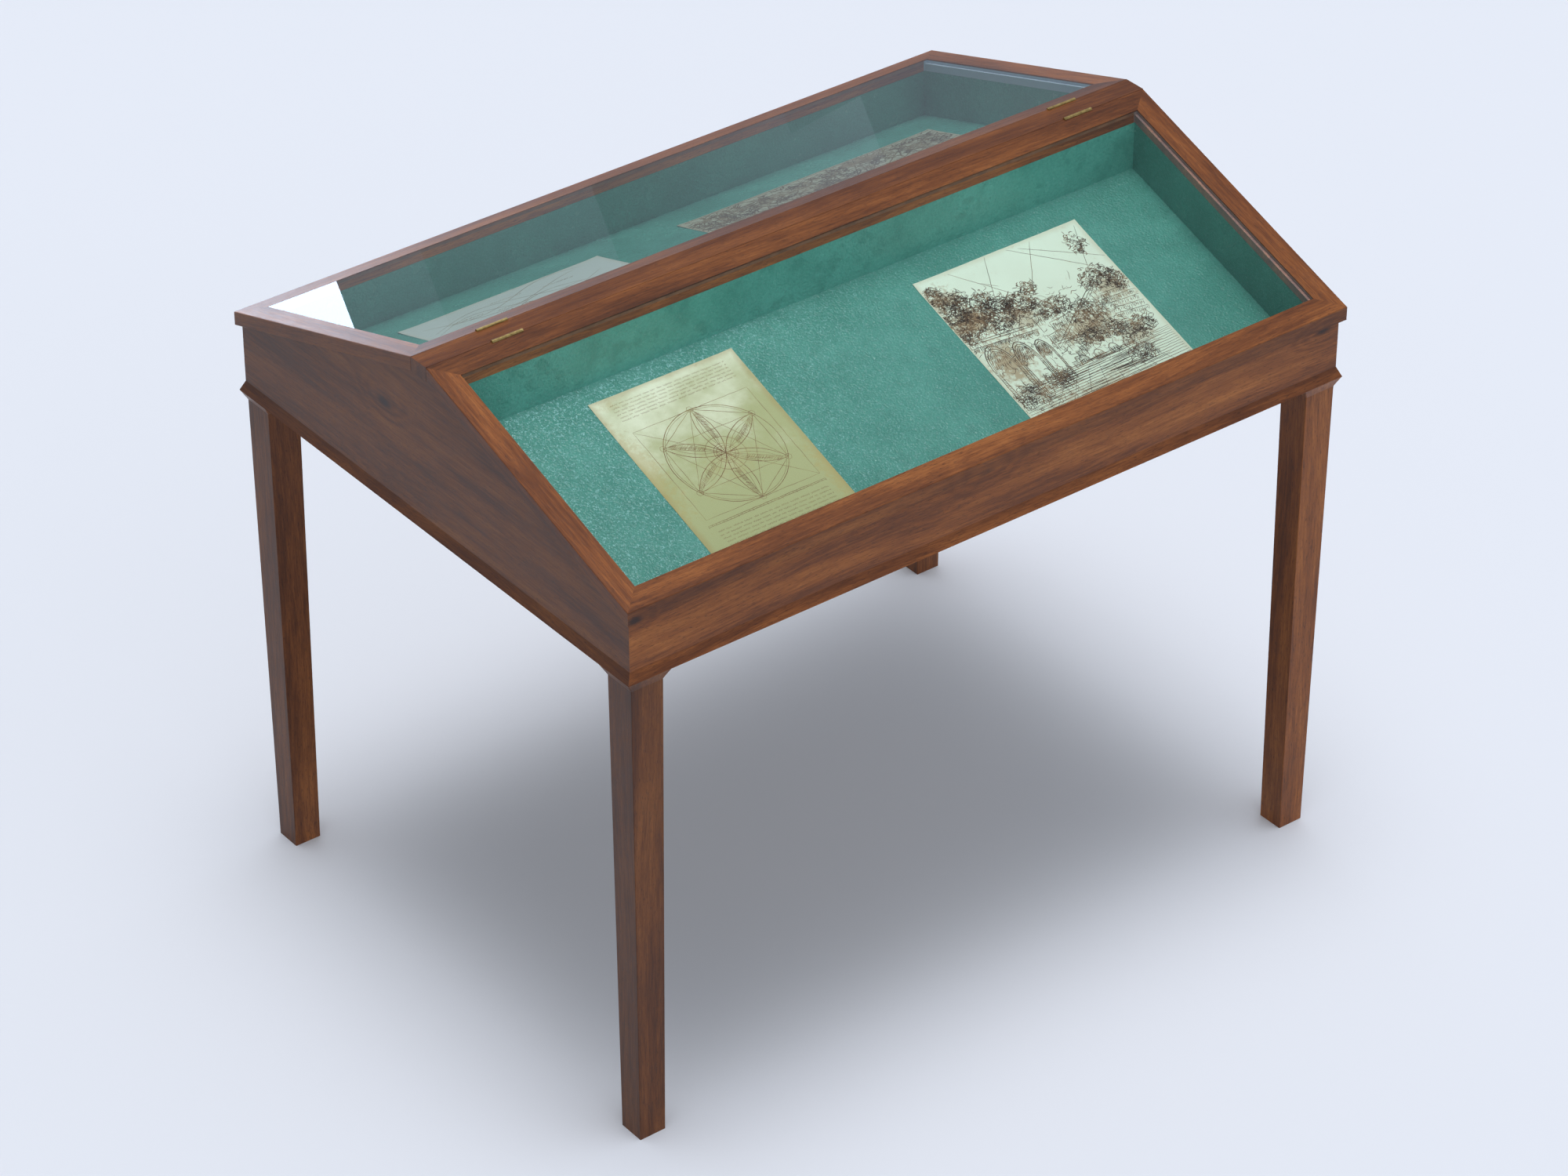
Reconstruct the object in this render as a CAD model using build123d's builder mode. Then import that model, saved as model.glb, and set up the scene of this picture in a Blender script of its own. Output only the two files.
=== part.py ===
"""Free-standing table display case: a gabled wooden case on four tapered legs,
with two sloping glazed lids hinged along a flat ridge.

Millimetres, +Z up. The origin is on the floor under the middle of the case.
X runs along the ridge and -Y is the front. A distance is measured from the XZ
plane, either way. A depth is measured straight down from the plane of a lid's
top face.
"""
from build123d import *
import os
from typing import NamedTuple

# ---------------------------------------------------------------- driving sizes
CASE_LENGTH = 1200.0        # over the lids, along X
CASE_DEPTH = 887.0          # over both lids, along Y
RIDGE_HEIGHT = 1000.0
FRONT_EAVE_HEIGHT = 852.5   # top of the front lid's outer edge
REAR_EAVE_HEIGHT = 864.5    # top of the rear lid's outer edge

LID_THICKNESS = 21.0
LID_OVERHANG_X = 6.8
LID_OVERHANG_Y = 7.5
LID_CLOSING_GAP = 0.3       # between a closed lid and the case
STILE_WIDTH = 34.0
BOTTOM_RAIL_WIDTH = 31.0
EDGE_CHAMFER = 0.7          # on the lids' outer edges

GLASS_LIP = 2.0             # wood left above the glass
GLASS_THICKNESS = 4.2
GLASS_CLEARANCE = 1.0       # around the edge of the pane
REBATE_WIDTH = 9.0
BEAD_BOTTOM = 18.0          # depth of the underside of the glazing beads
BEAD_END_GAP = 0.2
SIDE_BEAD_PROJECTION = 4.0  # how far the side beads stand into the opening

WALL = 20.0
WALL_BOTTOM = 757.3
MOULDING_BOTTOM = 742.0
MOULDING_FLARE = 6.8

RIDGE_CAP_HEIGHT = 30.0
RIDGE_BEARER_HEIGHT = 18.0
PARTITION = 15.0

LINING = 3.5                # lining boards of the long walls
LINING_TOP = 18.3           # depth of the linings' top edge, just under the beads
DECK_DEPTH = 90.5           # depth of the covered deck surface
DECK_LINING = 2.0
DECK = 10.0
DECK_CLEARANCE = 0.5
CLEAT = 20.0
CLEAT_HALF_LENGTH = 500.0   # of the cleats that run along X
CLEAT_LOWER_STOP = 80.0     # side cleats stop this far short of the outer wall
CLEAT_UPPER_STOP = 25.0     # and this far short of the partition

LEG_CENTRE_X = 566.5
LEG_CENTRE_Y = 411.2
LEG_FOOT = 41.0
LEG_TOP = 50.0
LEG_SHAFT_TOP = 726.8
LEG_CORNER_RADIUS = 1.0
CAPITAL_X = 67.0
CAPITAL_Y = 63.2

BOLT_X = 562.0
BOLT_Y = 405.0
BOLT_RADIUS = 4.0
BOLT_HOLE_RADIUS = 4.1
BOLT_LENGTH = 75.0
BOLT_TOP_DROP = 0.5         # bolt end below the base board's upper face
COUNTERBORE_RADIUS = 9.0
COUNTERBORE_DEPTH = 9.0
WASHER_RADIUS = 8.0
WASHER_THICKNESS = 1.5
NUT_FLATS = 13.0
NUT_HEIGHT = 6.0
NUT_HOLE_RADIUS = 4.05
DOWEL_X = 550.0
DOWEL_Y = 393.0
DOWEL_RADIUS = 3.0
DOWEL_HOLE_RADIUS = 3.05
DOWEL_REACH = 11.0          # into the base board, and into the leg
DOWEL_HOLE_REACH = 11.5

HINGE_CENTRES_X = (-473.75, 481.75)
HINGE_LENGTH = 48.5
HINGE_GAP = 0.5             # between the ridge cap and a lid, centred on the pin
BARREL_RADIUS = 2.5
BARREL_RELIEF = 0.3
PIN_RADIUS = 1.25
PIN_HOLE_RADIUS = 1.29
KNUCKLE_COUNT = 5
KNUCKLE_GAP = 0.2
LEAF_THICKNESS = 1.2
LEAF_HEIGHT = 15.0          # from the pin axis down
LEAF_FIT = 0.1              # around a leaf in its recess
SCREW_PITCH = 16.0
SCREW_DROP = 9.0            # screw axis below the pin axis
SCREW_RADIUS = 1.5
SCREW_HOLE_RADIUS = 1.55
SCREW_HEAD_RADIUS = 2.7
SCREW_SINK_RADIUS = 2.8
SCREW_HEAD_HEIGHT = 1.35
SCREW_LENGTH = 12.0
SLOT_WIDTH = 0.7
SLOT_DEPTH = 0.5

SHEET_THICKNESS = 0.5

# ---------------------------------------------------------------- derived sizes
HALF_LENGTH = CASE_LENGTH / 2
EAVE_Y = CASE_DEPTH / 2
WALL_X = HALF_LENGTH - LID_OVERHANG_X
WALL_Y = EAVE_Y - LID_OVERHANG_Y
INNER_X = WALL_X - WALL
INNER_Y = WALL_Y - WALL
OPENING_X = HALF_LENGTH - STILE_WIDTH
OPENING_Y = EAVE_Y - BOTTOM_RAIL_WIDTH
WELL_X = OPENING_X - SIDE_BEAD_PROJECTION
GLASS_BOTTOM = GLASS_LIP + GLASS_THICKNESS
CASE_TOP_DEPTH = LID_THICKNESS + LID_CLOSING_GAP
MOULDING_HEIGHT = WALL_BOTTOM - MOULDING_BOTTOM
CAP_BOTTOM = RIDGE_HEIGHT - RIDGE_CAP_HEIGHT
BEARER_BOTTOM = CAP_BOTTOM - RIDGE_BEARER_HEIGHT
DECK_BOARD_DEPTH = DECK_DEPTH + DECK_LINING
CLEAT_DEPTH = DECK_BOARD_DEPTH + DECK
BOLT_TOP = WALL_BOTTOM - BOLT_TOP_DROP
BOLT_BOTTOM = BOLT_TOP - BOLT_LENGTH
NUT_SEAT = WALL_BOTTOM - COUNTERBORE_DEPTH
KNUCKLE_PITCH = HINGE_LENGTH / KNUCKLE_COUNT
LEAF_BACK = HINGE_GAP / 2 + LEAF_THICKNESS
PLATE_TOP = RIDGE_HEIGHT - BARREL_RADIUS - BARREL_RELIEF


class Side(NamedTuple):
    """Front or rear half of the case. sign is -1 or +1 along Y; hinge and
    opening are the distances of the pin and of the lid opening's upper edge."""
    name: str
    sign: int
    hinge: float
    opening: float
    eave_height: float

    def slope(self):
        return (RIDGE_HEIGHT - self.eave_height) / (EAVE_Y - self.hinge)

    def height(self, distance, depth):
        """Height of a point at a depth below the lid's top plane."""
        return RIDGE_HEIGHT - (distance - self.hinge) * self.slope() - depth

    def along(self, slope_distance):
        """Horizontal part of a distance measured down the slope."""
        return slope_distance / (1 + self.slope() ** 2) ** 0.5


class Band(NamedTuple):
    """A straight board parallel to a lid: distances near and far, depths upper
    and lower, and the X of its two ends."""
    near: float
    far: float
    upper: float
    lower: float
    x_low: float
    x_high: float


class Sheet(NamedTuple):
    """A display sheet: its X range and its distances down the slope from the
    partition."""
    name: str
    side: Side
    x_low: float
    x_high: float
    upper_edge: float
    lower_edge: float


FRONT = Side("front", -1, 16.0, 44.0, FRONT_EAVE_HEIGHT)
REAR = Side("rear", 1, 18.5, 48.5, REAR_EAVE_HEIGHT)

SHEETS = (
    Sheet("front_left_sheet", FRONT, -390.0, -157.0, 29.5, 356.5),
    Sheet("front_right_sheet", FRONT, 138.0, 422.5, 43.0, 345.0),
    Sheet("rear_left_sheet", REAR, -405.5, -71.5, 72.0, 312.0),
    Sheet("rear_right_sheet", REAR, 63.5, 515.0, 52.0, 310.0),
)


# ---------------------------------------------------------------- helpers
def save(piece, label):
    """Label a finished piece and write its STEP file."""
    piece.part.label = label
    export_step(piece.part, f"parts/{label}.step")


def band_section(side, band):
    """Corners of a band's section in the YZ plane."""
    return [
        (side.sign * band.near, side.height(band.near, band.upper)),
        (side.sign * band.far, side.height(band.far, band.upper)),
        (side.sign * band.far, side.height(band.far, band.lower)),
        (side.sign * band.near, side.height(band.near, band.lower)),
    ]


def make_bands(label, side, bands, flat_bottom=None):
    """A piece of one or more straight boards parallel to a lid. With a flat
    bottom, the boards are cut off level at that height."""
    with BuildPart() as piece:
        for band in bands:
            with BuildSketch(Plane.YZ.offset(band.x_low)):
                Polygon(*band_section(side, band))
            extrude(amount=band.x_high - band.x_low)
        if flat_bottom is not None:
            with BuildSketch(Plane.XY.offset(flat_bottom)):
                Rectangle(CASE_LENGTH, CASE_DEPTH)
            extrude(amount=RIDGE_HEIGHT, mode=Mode.INTERSECT)
    save(piece, label)


def make_beam(label, half_length, y_low, y_high, bottom, top):
    """A square-cut board along X, centred on the YZ plane."""
    with BuildPart() as beam:
        with BuildSketch(Plane.XY.offset(bottom)):
            with Locations((0, (y_low + y_high) / 2)):
                Rectangle(2 * half_length, y_high - y_low)
        extrude(amount=top - bottom)
    save(beam, label)


def mitred_plan(margin):
    """Plan outlines of the four mitred members that stand round the inside of
    the case, each reaching a margin outwards."""
    x, y = INNER_X, INNER_Y
    far_x, far_y = INNER_X + margin, INNER_Y + margin
    return {
        "front": ((-far_x, -far_y), (far_x, -far_y), (x, -y), (-x, -y)),
        "rear": ((-far_x, far_y), (-x, y), (x, y), (far_x, far_y)),
        "left": ((-far_x, -far_y), (-x, -y), (-x, y), (-far_x, far_y)),
        "right": ((far_x, -far_y), (far_x, far_y), (x, y), (x, -y)),
    }


# ---------------------------------------------------------------- case
def gable_section():
    """Section of the case above the mouldings, notched for the ridge cap."""
    return [
        (-EAVE_Y, WALL_BOTTOM),
        (-EAVE_Y, FRONT.height(EAVE_Y, CASE_TOP_DEPTH)),
        (-FRONT.hinge, FRONT.height(FRONT.hinge, CASE_TOP_DEPTH)),
        (-FRONT.hinge, CAP_BOTTOM),
        (REAR.hinge, CAP_BOTTOM),
        (REAR.hinge, REAR.height(REAR.hinge, CASE_TOP_DEPTH)),
        (EAVE_Y, REAR.height(EAVE_Y, CASE_TOP_DEPTH)),
        (EAVE_Y, WALL_BOTTOM),
    ]


def make_walls():
    """Front and rear walls and the two gable end panels."""
    labels = {
        "front": "front_wall",
        "rear": "rear_wall",
        "left": "left_end_panel",
        "right": "right_end_panel",
    }
    for where, outline in mitred_plan(WALL).items():
        with BuildPart() as wall:
            with BuildSketch(Plane.XY.offset(WALL_BOTTOM)):
                Polygon(*outline)
            extrude(amount=RIDGE_HEIGHT - WALL_BOTTOM)
            with BuildSketch(Plane.YZ):
                Polygon(*gable_section())
            extrude(amount=CASE_LENGTH, both=True, mode=Mode.INTERSECT)
        save(wall, labels[where])


def make_base_mouldings():
    """Mitred strips under the walls, their outer faces flaring to a sharp foot."""
    for where, outline in mitred_plan(WALL + 2 * MOULDING_FLARE).items():
        along_x = where in ("front", "rear")
        sign = -1 if where in ("front", "left") else 1
        inner, face = (INNER_Y, WALL_Y) if along_x else (INNER_X, WALL_X)
        section = (
            (sign * inner, MOULDING_BOTTOM),
            (sign * (face + MOULDING_FLARE), MOULDING_BOTTOM),
            (sign * face, WALL_BOTTOM),
            (sign * inner, WALL_BOTTOM),
        )
        with BuildPart() as moulding:
            with BuildSketch(Plane.YZ if along_x else Plane.XZ):
                Polygon(*section)
            extrude(amount=CASE_LENGTH, both=True)
            with BuildSketch(Plane.XY.offset(MOULDING_BOTTOM)):
                Polygon(*outline)
            extrude(amount=MOULDING_HEIGHT, mode=Mode.INTERSECT)
        save(moulding, f"{where}_base_moulding")


def make_base_board():
    """Flat panel inside the mouldings, bored for the leg bolts and dowels."""
    with BuildPart() as base_board:
        with BuildSketch(Plane.XY.offset(MOULDING_BOTTOM)):
            Rectangle(2 * INNER_X, 2 * INNER_Y)
            with GridLocations(2 * BOLT_X, 2 * BOLT_Y, 2, 2):
                Circle(BOLT_HOLE_RADIUS, mode=Mode.SUBTRACT)
        extrude(amount=MOULDING_HEIGHT)
        with BuildSketch(Plane.XY.offset(NUT_SEAT)):
            with GridLocations(2 * BOLT_X, 2 * BOLT_Y, 2, 2):
                Circle(COUNTERBORE_RADIUS)
        extrude(amount=COUNTERBORE_DEPTH, mode=Mode.SUBTRACT)
        with BuildSketch(Plane.XY.offset(MOULDING_BOTTOM)):
            with GridLocations(2 * DOWEL_X, 2 * DOWEL_Y, 2, 2):
                Circle(DOWEL_HOLE_RADIUS)
        extrude(amount=DOWEL_HOLE_REACH, mode=Mode.SUBTRACT)
    save(base_board, "base_board")


def make_ridge():
    """Ridge cap, the bearer under it and the two partitions that carry it. The
    cap is let into the gables, and its overhanging ends are as thin as the lids."""
    cap_front = HINGE_GAP / 2 - FRONT.hinge
    cap_rear = REAR.hinge - HINGE_GAP / 2
    with BuildPart() as ridge_cap:
        with BuildSketch(Plane.XY.offset(CAP_BOTTOM)):
            with Locations((0, (cap_front + cap_rear) / 2)):
                Rectangle(CASE_LENGTH, cap_rear - cap_front)
        extrude(amount=RIDGE_CAP_HEIGHT)
        with BuildSketch(Plane.XY.offset(CAP_BOTTOM)):
            with Locations((-HALF_LENGTH, 0), (HALF_LENGTH, 0)):
                Rectangle(2 * LID_OVERHANG_X, CASE_DEPTH)
        extrude(amount=RIDGE_CAP_HEIGHT - LID_THICKNESS, mode=Mode.SUBTRACT)
        for side in (FRONT, REAR):
            with BuildSketch(*recess_planes()):
                Polygon(*recess_section(side, towards_ridge=True))
                with Locations((side.sign * side.hinge, RIDGE_HEIGHT)):
                    Circle(BARREL_RADIUS + BARREL_RELIEF)
            extrude(amount=HINGE_LENGTH + 2 * LEAF_FIT, mode=Mode.SUBTRACT)
            with Locations(*screw_planes(side, towards_ridge=True)):
                CounterSinkHole(SCREW_HOLE_RADIUS, SCREW_SINK_RADIUS, SCREW_LENGTH)
    save(ridge_cap, "ridge_cap")

    front_face = LINING - FRONT.opening
    rear_face = REAR.opening - LINING
    make_beam("ridge_bearer", INNER_X, front_face, rear_face, BEARER_BOTTOM, CAP_BOTTOM)
    make_beam("front_partition", INNER_X, front_face, front_face + PARTITION, WALL_BOTTOM, BEARER_BOTTOM)
    make_beam("rear_partition", INNER_X, rear_face - PARTITION, rear_face, WALL_BOTTOM, BEARER_BOTTOM)


# ---------------------------------------------------------------- compartments
def make_deck(side):
    """Sloping deck board, its covered lining and the cleats under it."""
    upper_end = side.opening - LINING
    near = upper_end + DECK_CLEARANCE
    far = INNER_Y - DECK_CLEARANCE
    half = INNER_X - DECK_CLEARANCE
    board = Band(near, far, DECK_BOARD_DEPTH, CLEAT_DEPTH, -half, half)
    cover = Band(near, far, DECK_DEPTH, DECK_BOARD_DEPTH, -half, half)
    make_bands(f"{side.name}_deck", side, [board])
    make_bands(f"{side.name}_deck_lining", side, [cover])

    side_near = upper_end + CLEAT_UPPER_STOP
    side_far = INNER_Y - CLEAT_LOWER_STOP
    levels = (CLEAT_DEPTH, CLEAT_DEPTH + CLEAT)
    cross = CLEAT_HALF_LENGTH
    cleats = [
        Band(side_near, side_far, *levels, -INNER_X, CLEAT - INNER_X),
        Band(side_near, side_far, *levels, INNER_X - CLEAT, INNER_X),
        Band(upper_end, upper_end + CLEAT, *levels, -cross, cross),
        Band(INNER_Y - CLEAT, far, *levels, -cross, cross),
    ]
    make_bands(f"{side.name}_deck_cleats", side, cleats, flat_bottom=WALL_BOTTOM)


def make_linings(side):
    """Covered boards that stand on the deck round the four walls."""
    upper_end = side.opening - LINING
    levels = (LINING_TOP, DECK_DEPTH)
    pieces = {
        "outer": Band(OPENING_Y, INNER_Y, *levels, -WELL_X, WELL_X),
        "partition": Band(upper_end, side.opening, *levels, -WELL_X, WELL_X),
        "left": Band(upper_end, INNER_Y, *levels, -INNER_X, -WELL_X),
        "right": Band(upper_end, INNER_Y, *levels, WELL_X, INNER_X),
    }
    for where, band in pieces.items():
        make_bands(f"{side.name}_well_{where}_lining", side, [band])


def make_sheet(sheet):
    """A loose display sheet lying on a deck."""
    near = sheet.side.opening + sheet.side.along(sheet.upper_edge)
    far = sheet.side.opening + sheet.side.along(sheet.lower_edge)
    band = Band(near, far, DECK_DEPTH - SHEET_THICKNESS, DECK_DEPTH, sheet.x_low, sheet.x_high)
    make_bands(sheet.name, sheet.side, [band])


# ---------------------------------------------------------------- legs
def make_legs():
    """Tapered square legs, each with a flared capital and bored for its bolt."""
    for y_name, y_sign in (("front", -1), ("rear", 1)):
        for x_name, x_sign in (("left", -1), ("right", 1)):
            centre = (x_sign * LEG_CENTRE_X, y_sign * LEG_CENTRE_Y)
            with BuildPart() as leg:
                with BuildSketch(Plane.XY):
                    with Locations(centre):
                        RectangleRounded(LEG_FOOT, LEG_FOOT, LEG_CORNER_RADIUS)
                with BuildSketch(Plane.XY.offset(LEG_SHAFT_TOP)):
                    with Locations(centre):
                        RectangleRounded(LEG_TOP, LEG_TOP, LEG_CORNER_RADIUS)
                loft()
                with BuildSketch(Plane.XY.offset(LEG_SHAFT_TOP)):
                    with Locations(centre):
                        RectangleRounded(LEG_TOP, LEG_TOP, LEG_CORNER_RADIUS)
                with BuildSketch(Plane.XY.offset(MOULDING_BOTTOM)):
                    with Locations(centre):
                        RectangleRounded(CAPITAL_X, CAPITAL_Y, LEG_CORNER_RADIUS)
                loft()
                with BuildSketch(Plane.XY.offset(BOLT_BOTTOM - BOLT_TOP_DROP)):
                    with Locations((x_sign * BOLT_X, y_sign * BOLT_Y)):
                        Circle(BOLT_HOLE_RADIUS)
                extrude(amount=BOLT_LENGTH, mode=Mode.SUBTRACT)
                with BuildSketch(Plane.XY.offset(MOULDING_BOTTOM - DOWEL_HOLE_REACH)):
                    with Locations((x_sign * DOWEL_X, y_sign * DOWEL_Y)):
                        Circle(DOWEL_HOLE_RADIUS)
                extrude(amount=DOWEL_HOLE_REACH, mode=Mode.SUBTRACT)
            save(leg, f"{y_name}_{x_name}_leg")


def make_leg_fastenings():
    """The four leg bolts with washers and nuts sunk in the base board, and the
    dowels that stop the legs turning."""
    with BuildPart() as leg_bolts:
        with BuildSketch(Plane.XY.offset(BOLT_BOTTOM)):
            with GridLocations(2 * BOLT_X, 2 * BOLT_Y, 2, 2):
                Circle(BOLT_RADIUS)
        extrude(amount=BOLT_LENGTH)
    save(leg_bolts, "leg_bolts")

    with BuildPart() as leg_washers:
        with BuildSketch(Plane.XY.offset(NUT_SEAT)):
            with GridLocations(2 * BOLT_X, 2 * BOLT_Y, 2, 2):
                Circle(WASHER_RADIUS)
                Circle(BOLT_HOLE_RADIUS, mode=Mode.SUBTRACT)
        extrude(amount=WASHER_THICKNESS)
    save(leg_washers, "leg_washers")

    with BuildPart() as leg_nuts:
        with BuildSketch(Plane.XY.offset(NUT_SEAT + WASHER_THICKNESS)):
            with GridLocations(2 * BOLT_X, 2 * BOLT_Y, 2, 2):
                RegularPolygon(NUT_FLATS / 2, 6, major_radius=False)
                Circle(NUT_HOLE_RADIUS, mode=Mode.SUBTRACT)
        extrude(amount=NUT_HEIGHT)
    save(leg_nuts, "leg_nuts")

    with BuildPart() as leg_dowels:
        with BuildSketch(Plane.XY.offset(MOULDING_BOTTOM - DOWEL_REACH)):
            with GridLocations(2 * DOWEL_X, 2 * DOWEL_Y, 2, 2):
                Circle(DOWEL_RADIUS)
        extrude(amount=2 * DOWEL_REACH)
    save(leg_dowels, "leg_dowels")


# ---------------------------------------------------------------- hinges
def recess_planes():
    """Section planes at the left end of each hinge recess."""
    return [Plane.YZ.offset(x - HINGE_LENGTH / 2 - LEAF_FIT) for x in HINGE_CENTRES_X]


def recess_section(side, towards_ridge):
    """Section of the slot that a hinge leaf is let into."""
    way = -side.sign if towards_ridge else side.sign
    pin_y = side.sign * side.hinge
    back_y = pin_y + way * (LEAF_BACK + LEAF_FIT)
    bottom = RIDGE_HEIGHT - LEAF_HEIGHT - LEAF_FIT
    return ((pin_y, bottom), (back_y, bottom), (back_y, RIDGE_HEIGHT), (pin_y, RIDGE_HEIGHT))


def screw_planes(side, towards_ridge):
    """Planes on the face of a leaf at each screw, with Z pointing out of the wood."""
    way = -side.sign if towards_ridge else side.sign
    face_y = side.sign * side.hinge + way * HINGE_GAP / 2
    height = RIDGE_HEIGHT - SCREW_DROP
    planes = []
    for centre in HINGE_CENTRES_X:
        for step in (-1, 0, 1):
            origin = (centre + step * SCREW_PITCH, face_y, height)
            planes.append(Plane(origin=origin, x_dir=(1, 0, 0), z_dir=(0, -way, 0)))
    return planes


def make_leaves(label, sides, towards_ridge, knuckles):
    """Hinge leaves with their own knuckles rolled round the pin axis."""
    with BuildPart() as leaves:
        for side in sides:
            way = -side.sign if towards_ridge else side.sign
            pin_y = side.sign * side.hinge
            front_y = pin_y + way * HINGE_GAP / 2
            back_y = pin_y + way * LEAF_BACK
            axis_z = RIDGE_HEIGHT
            bottom = axis_z - LEAF_HEIGHT
            starts = [x - HINGE_LENGTH / 2 for x in HINGE_CENTRES_X]
            with BuildSketch(*[Plane.YZ.offset(x) for x in starts]):
                Polygon((front_y, bottom), (back_y, bottom), (back_y, PLATE_TOP), (front_y, PLATE_TOP))
            extrude(amount=HINGE_LENGTH)
            knuckle_starts = [x + k * KNUCKLE_PITCH + KNUCKLE_GAP / 2 for x in starts for k in knuckles]
            with BuildSketch(*[Plane.YZ.offset(x) for x in knuckle_starts]):
                Polygon((front_y, PLATE_TOP), (back_y, PLATE_TOP), (back_y, axis_z), (front_y, axis_z))
                with Locations((pin_y, axis_z)):
                    Circle(BARREL_RADIUS)
                    Circle(PIN_HOLE_RADIUS, mode=Mode.SUBTRACT)
            extrude(amount=KNUCKLE_PITCH - KNUCKLE_GAP)
            with Locations(*screw_planes(side, towards_ridge)):
                CounterSinkHole(SCREW_HOLE_RADIUS, SCREW_SINK_RADIUS, 2 * LEAF_THICKNESS)
    save(leaves, label)


def make_pins():
    """One plain pin through the knuckles of each hinge."""
    with BuildPart() as hinge_pins:
        for side in (FRONT, REAR):
            with BuildSketch(*[Plane.YZ.offset(x - HINGE_LENGTH / 2) for x in HINGE_CENTRES_X]):
                with Locations((side.sign * side.hinge, RIDGE_HEIGHT)):
                    Circle(PIN_RADIUS)
            extrude(amount=HINGE_LENGTH)
    save(hinge_pins, "hinge_pins")


def make_screw():
    """A slotted countersunk screw, its head face at the origin and its axis on -Z."""
    with BuildPart() as screw:
        with BuildSketch(Plane.XZ):
            Polygon(
                (0, 0),
                (SCREW_HEAD_RADIUS, 0),
                (SCREW_RADIUS, -SCREW_HEAD_HEIGHT),
                (SCREW_RADIUS, SCREW_RADIUS - SCREW_LENGTH),
                (0, -SCREW_LENGTH),
            )
        revolve(axis=Axis.Z)
        with BuildSketch(Plane.XY.offset(-SLOT_DEPTH)):
            Rectangle(2 * SCREW_HEAD_RADIUS, SLOT_WIDTH)
        extrude(amount=SLOT_DEPTH, mode=Mode.SUBTRACT)
    return screw.part


def make_screws(label, sides, towards_ridge, screw):
    """The screws of a set of leaves, as separate solids."""
    with BuildPart() as screws:
        for side in sides:
            with Locations(*screw_planes(side, towards_ridge)):
                add(screw)
    save(screws, label)


# ---------------------------------------------------------------- lids
def lid_plan(side):
    """Plan outlines of the four mitred members of a lid frame."""
    s = side.sign
    near, far = s * (side.hinge + HINGE_GAP / 2), s * EAVE_Y
    open_near, open_far = s * side.opening, s * OPENING_Y
    x, inner = HALF_LENGTH, OPENING_X
    return {
        "top_rail": ((-x, near), (-inner, open_near), (inner, open_near), (x, near)),
        "bottom_rail": ((-x, far), (x, far), (inner, open_far), (-inner, open_far)),
        "left_stile": ((-x, near), (-x, far), (-inner, open_far), (-inner, open_near)),
        "right_stile": ((x, near), (inner, open_near), (inner, open_far), (x, far)),
    }


def is_outer_edge(edge):
    """True for the long edges on the lid's outline away from the ridge."""
    centre = edge.center()
    on_end = abs(abs(centre.X) - HALF_LENGTH) < EDGE_CHAMFER
    on_eave = abs(abs(centre.Y) - EAVE_Y) < EDGE_CHAMFER
    return (on_end or on_eave) and edge.length > 2 * LID_THICKNESS


def make_lid_frame(side):
    """Mitred stiles and rails, rebated from below for the glass."""
    slab = Band(0.0, EAVE_Y, 0.0, LID_THICKNESS, -HALF_LENGTH, HALF_LENGTH)
    rebate_x = OPENING_X + REBATE_WIDTH
    near, far = side.opening - REBATE_WIDTH, OPENING_Y + REBATE_WIDTH
    rebate = Band(near, far, GLASS_LIP, 2 * LID_THICKNESS, -rebate_x, rebate_x)
    for where, outline in lid_plan(side).items():
        with BuildPart() as member:
            with BuildSketch(Plane.XY.offset(WALL_BOTTOM)):
                Polygon(*outline)
            extrude(amount=RIDGE_HEIGHT)
            with BuildSketch(Plane.YZ.offset(slab.x_low)):
                Polygon(*band_section(side, slab))
            extrude(amount=CASE_LENGTH, mode=Mode.INTERSECT)
            if where != "top_rail":
                chamfer(member.edges().filter_by(is_outer_edge), EDGE_CHAMFER)
            with BuildSketch(Plane.YZ.offset(rebate.x_low)):
                Polygon(*band_section(side, rebate))
            extrude(amount=2 * rebate_x, mode=Mode.SUBTRACT)
            if where == "top_rail":
                with BuildSketch(*recess_planes()):
                    Polygon(*recess_section(side, towards_ridge=False))
                    with Locations((side.sign * side.hinge, RIDGE_HEIGHT)):
                        Circle(BARREL_RADIUS + BARREL_RELIEF)
                extrude(amount=HINGE_LENGTH + 2 * LEAF_FIT, mode=Mode.SUBTRACT)
                with Locations(*screw_planes(side, towards_ridge=False)):
                    CounterSinkHole(SCREW_HOLE_RADIUS, SCREW_SINK_RADIUS, SCREW_LENGTH)
        save(member, f"{side.name}_lid_{where}")


def make_glazing(side):
    """The pane and the four beads that hold it up against the lip."""
    edge = REBATE_WIDTH - GLASS_CLEARANCE
    pane = Band(
        side.opening - edge, OPENING_Y + edge, GLASS_LIP, GLASS_BOTTOM, -OPENING_X - edge, OPENING_X + edge
    )
    make_bands(f"{side.name}_lid_glass", side, [pane])

    near, far = side.opening - REBATE_WIDTH, OPENING_Y + REBATE_WIDTH
    outer_x = OPENING_X + REBATE_WIDTH
    levels = (GLASS_BOTTOM, BEAD_BOTTOM)
    cross = WELL_X - BEAD_END_GAP
    beads = [
        Band(near, far, *levels, -outer_x, -WELL_X),
        Band(near, far, *levels, WELL_X, outer_x),
        Band(near, side.opening, *levels, -cross, cross),
        Band(OPENING_Y, far, *levels, -cross, cross),
    ]
    make_bands(f"{side.name}_lid_beads", side, beads)


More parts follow.
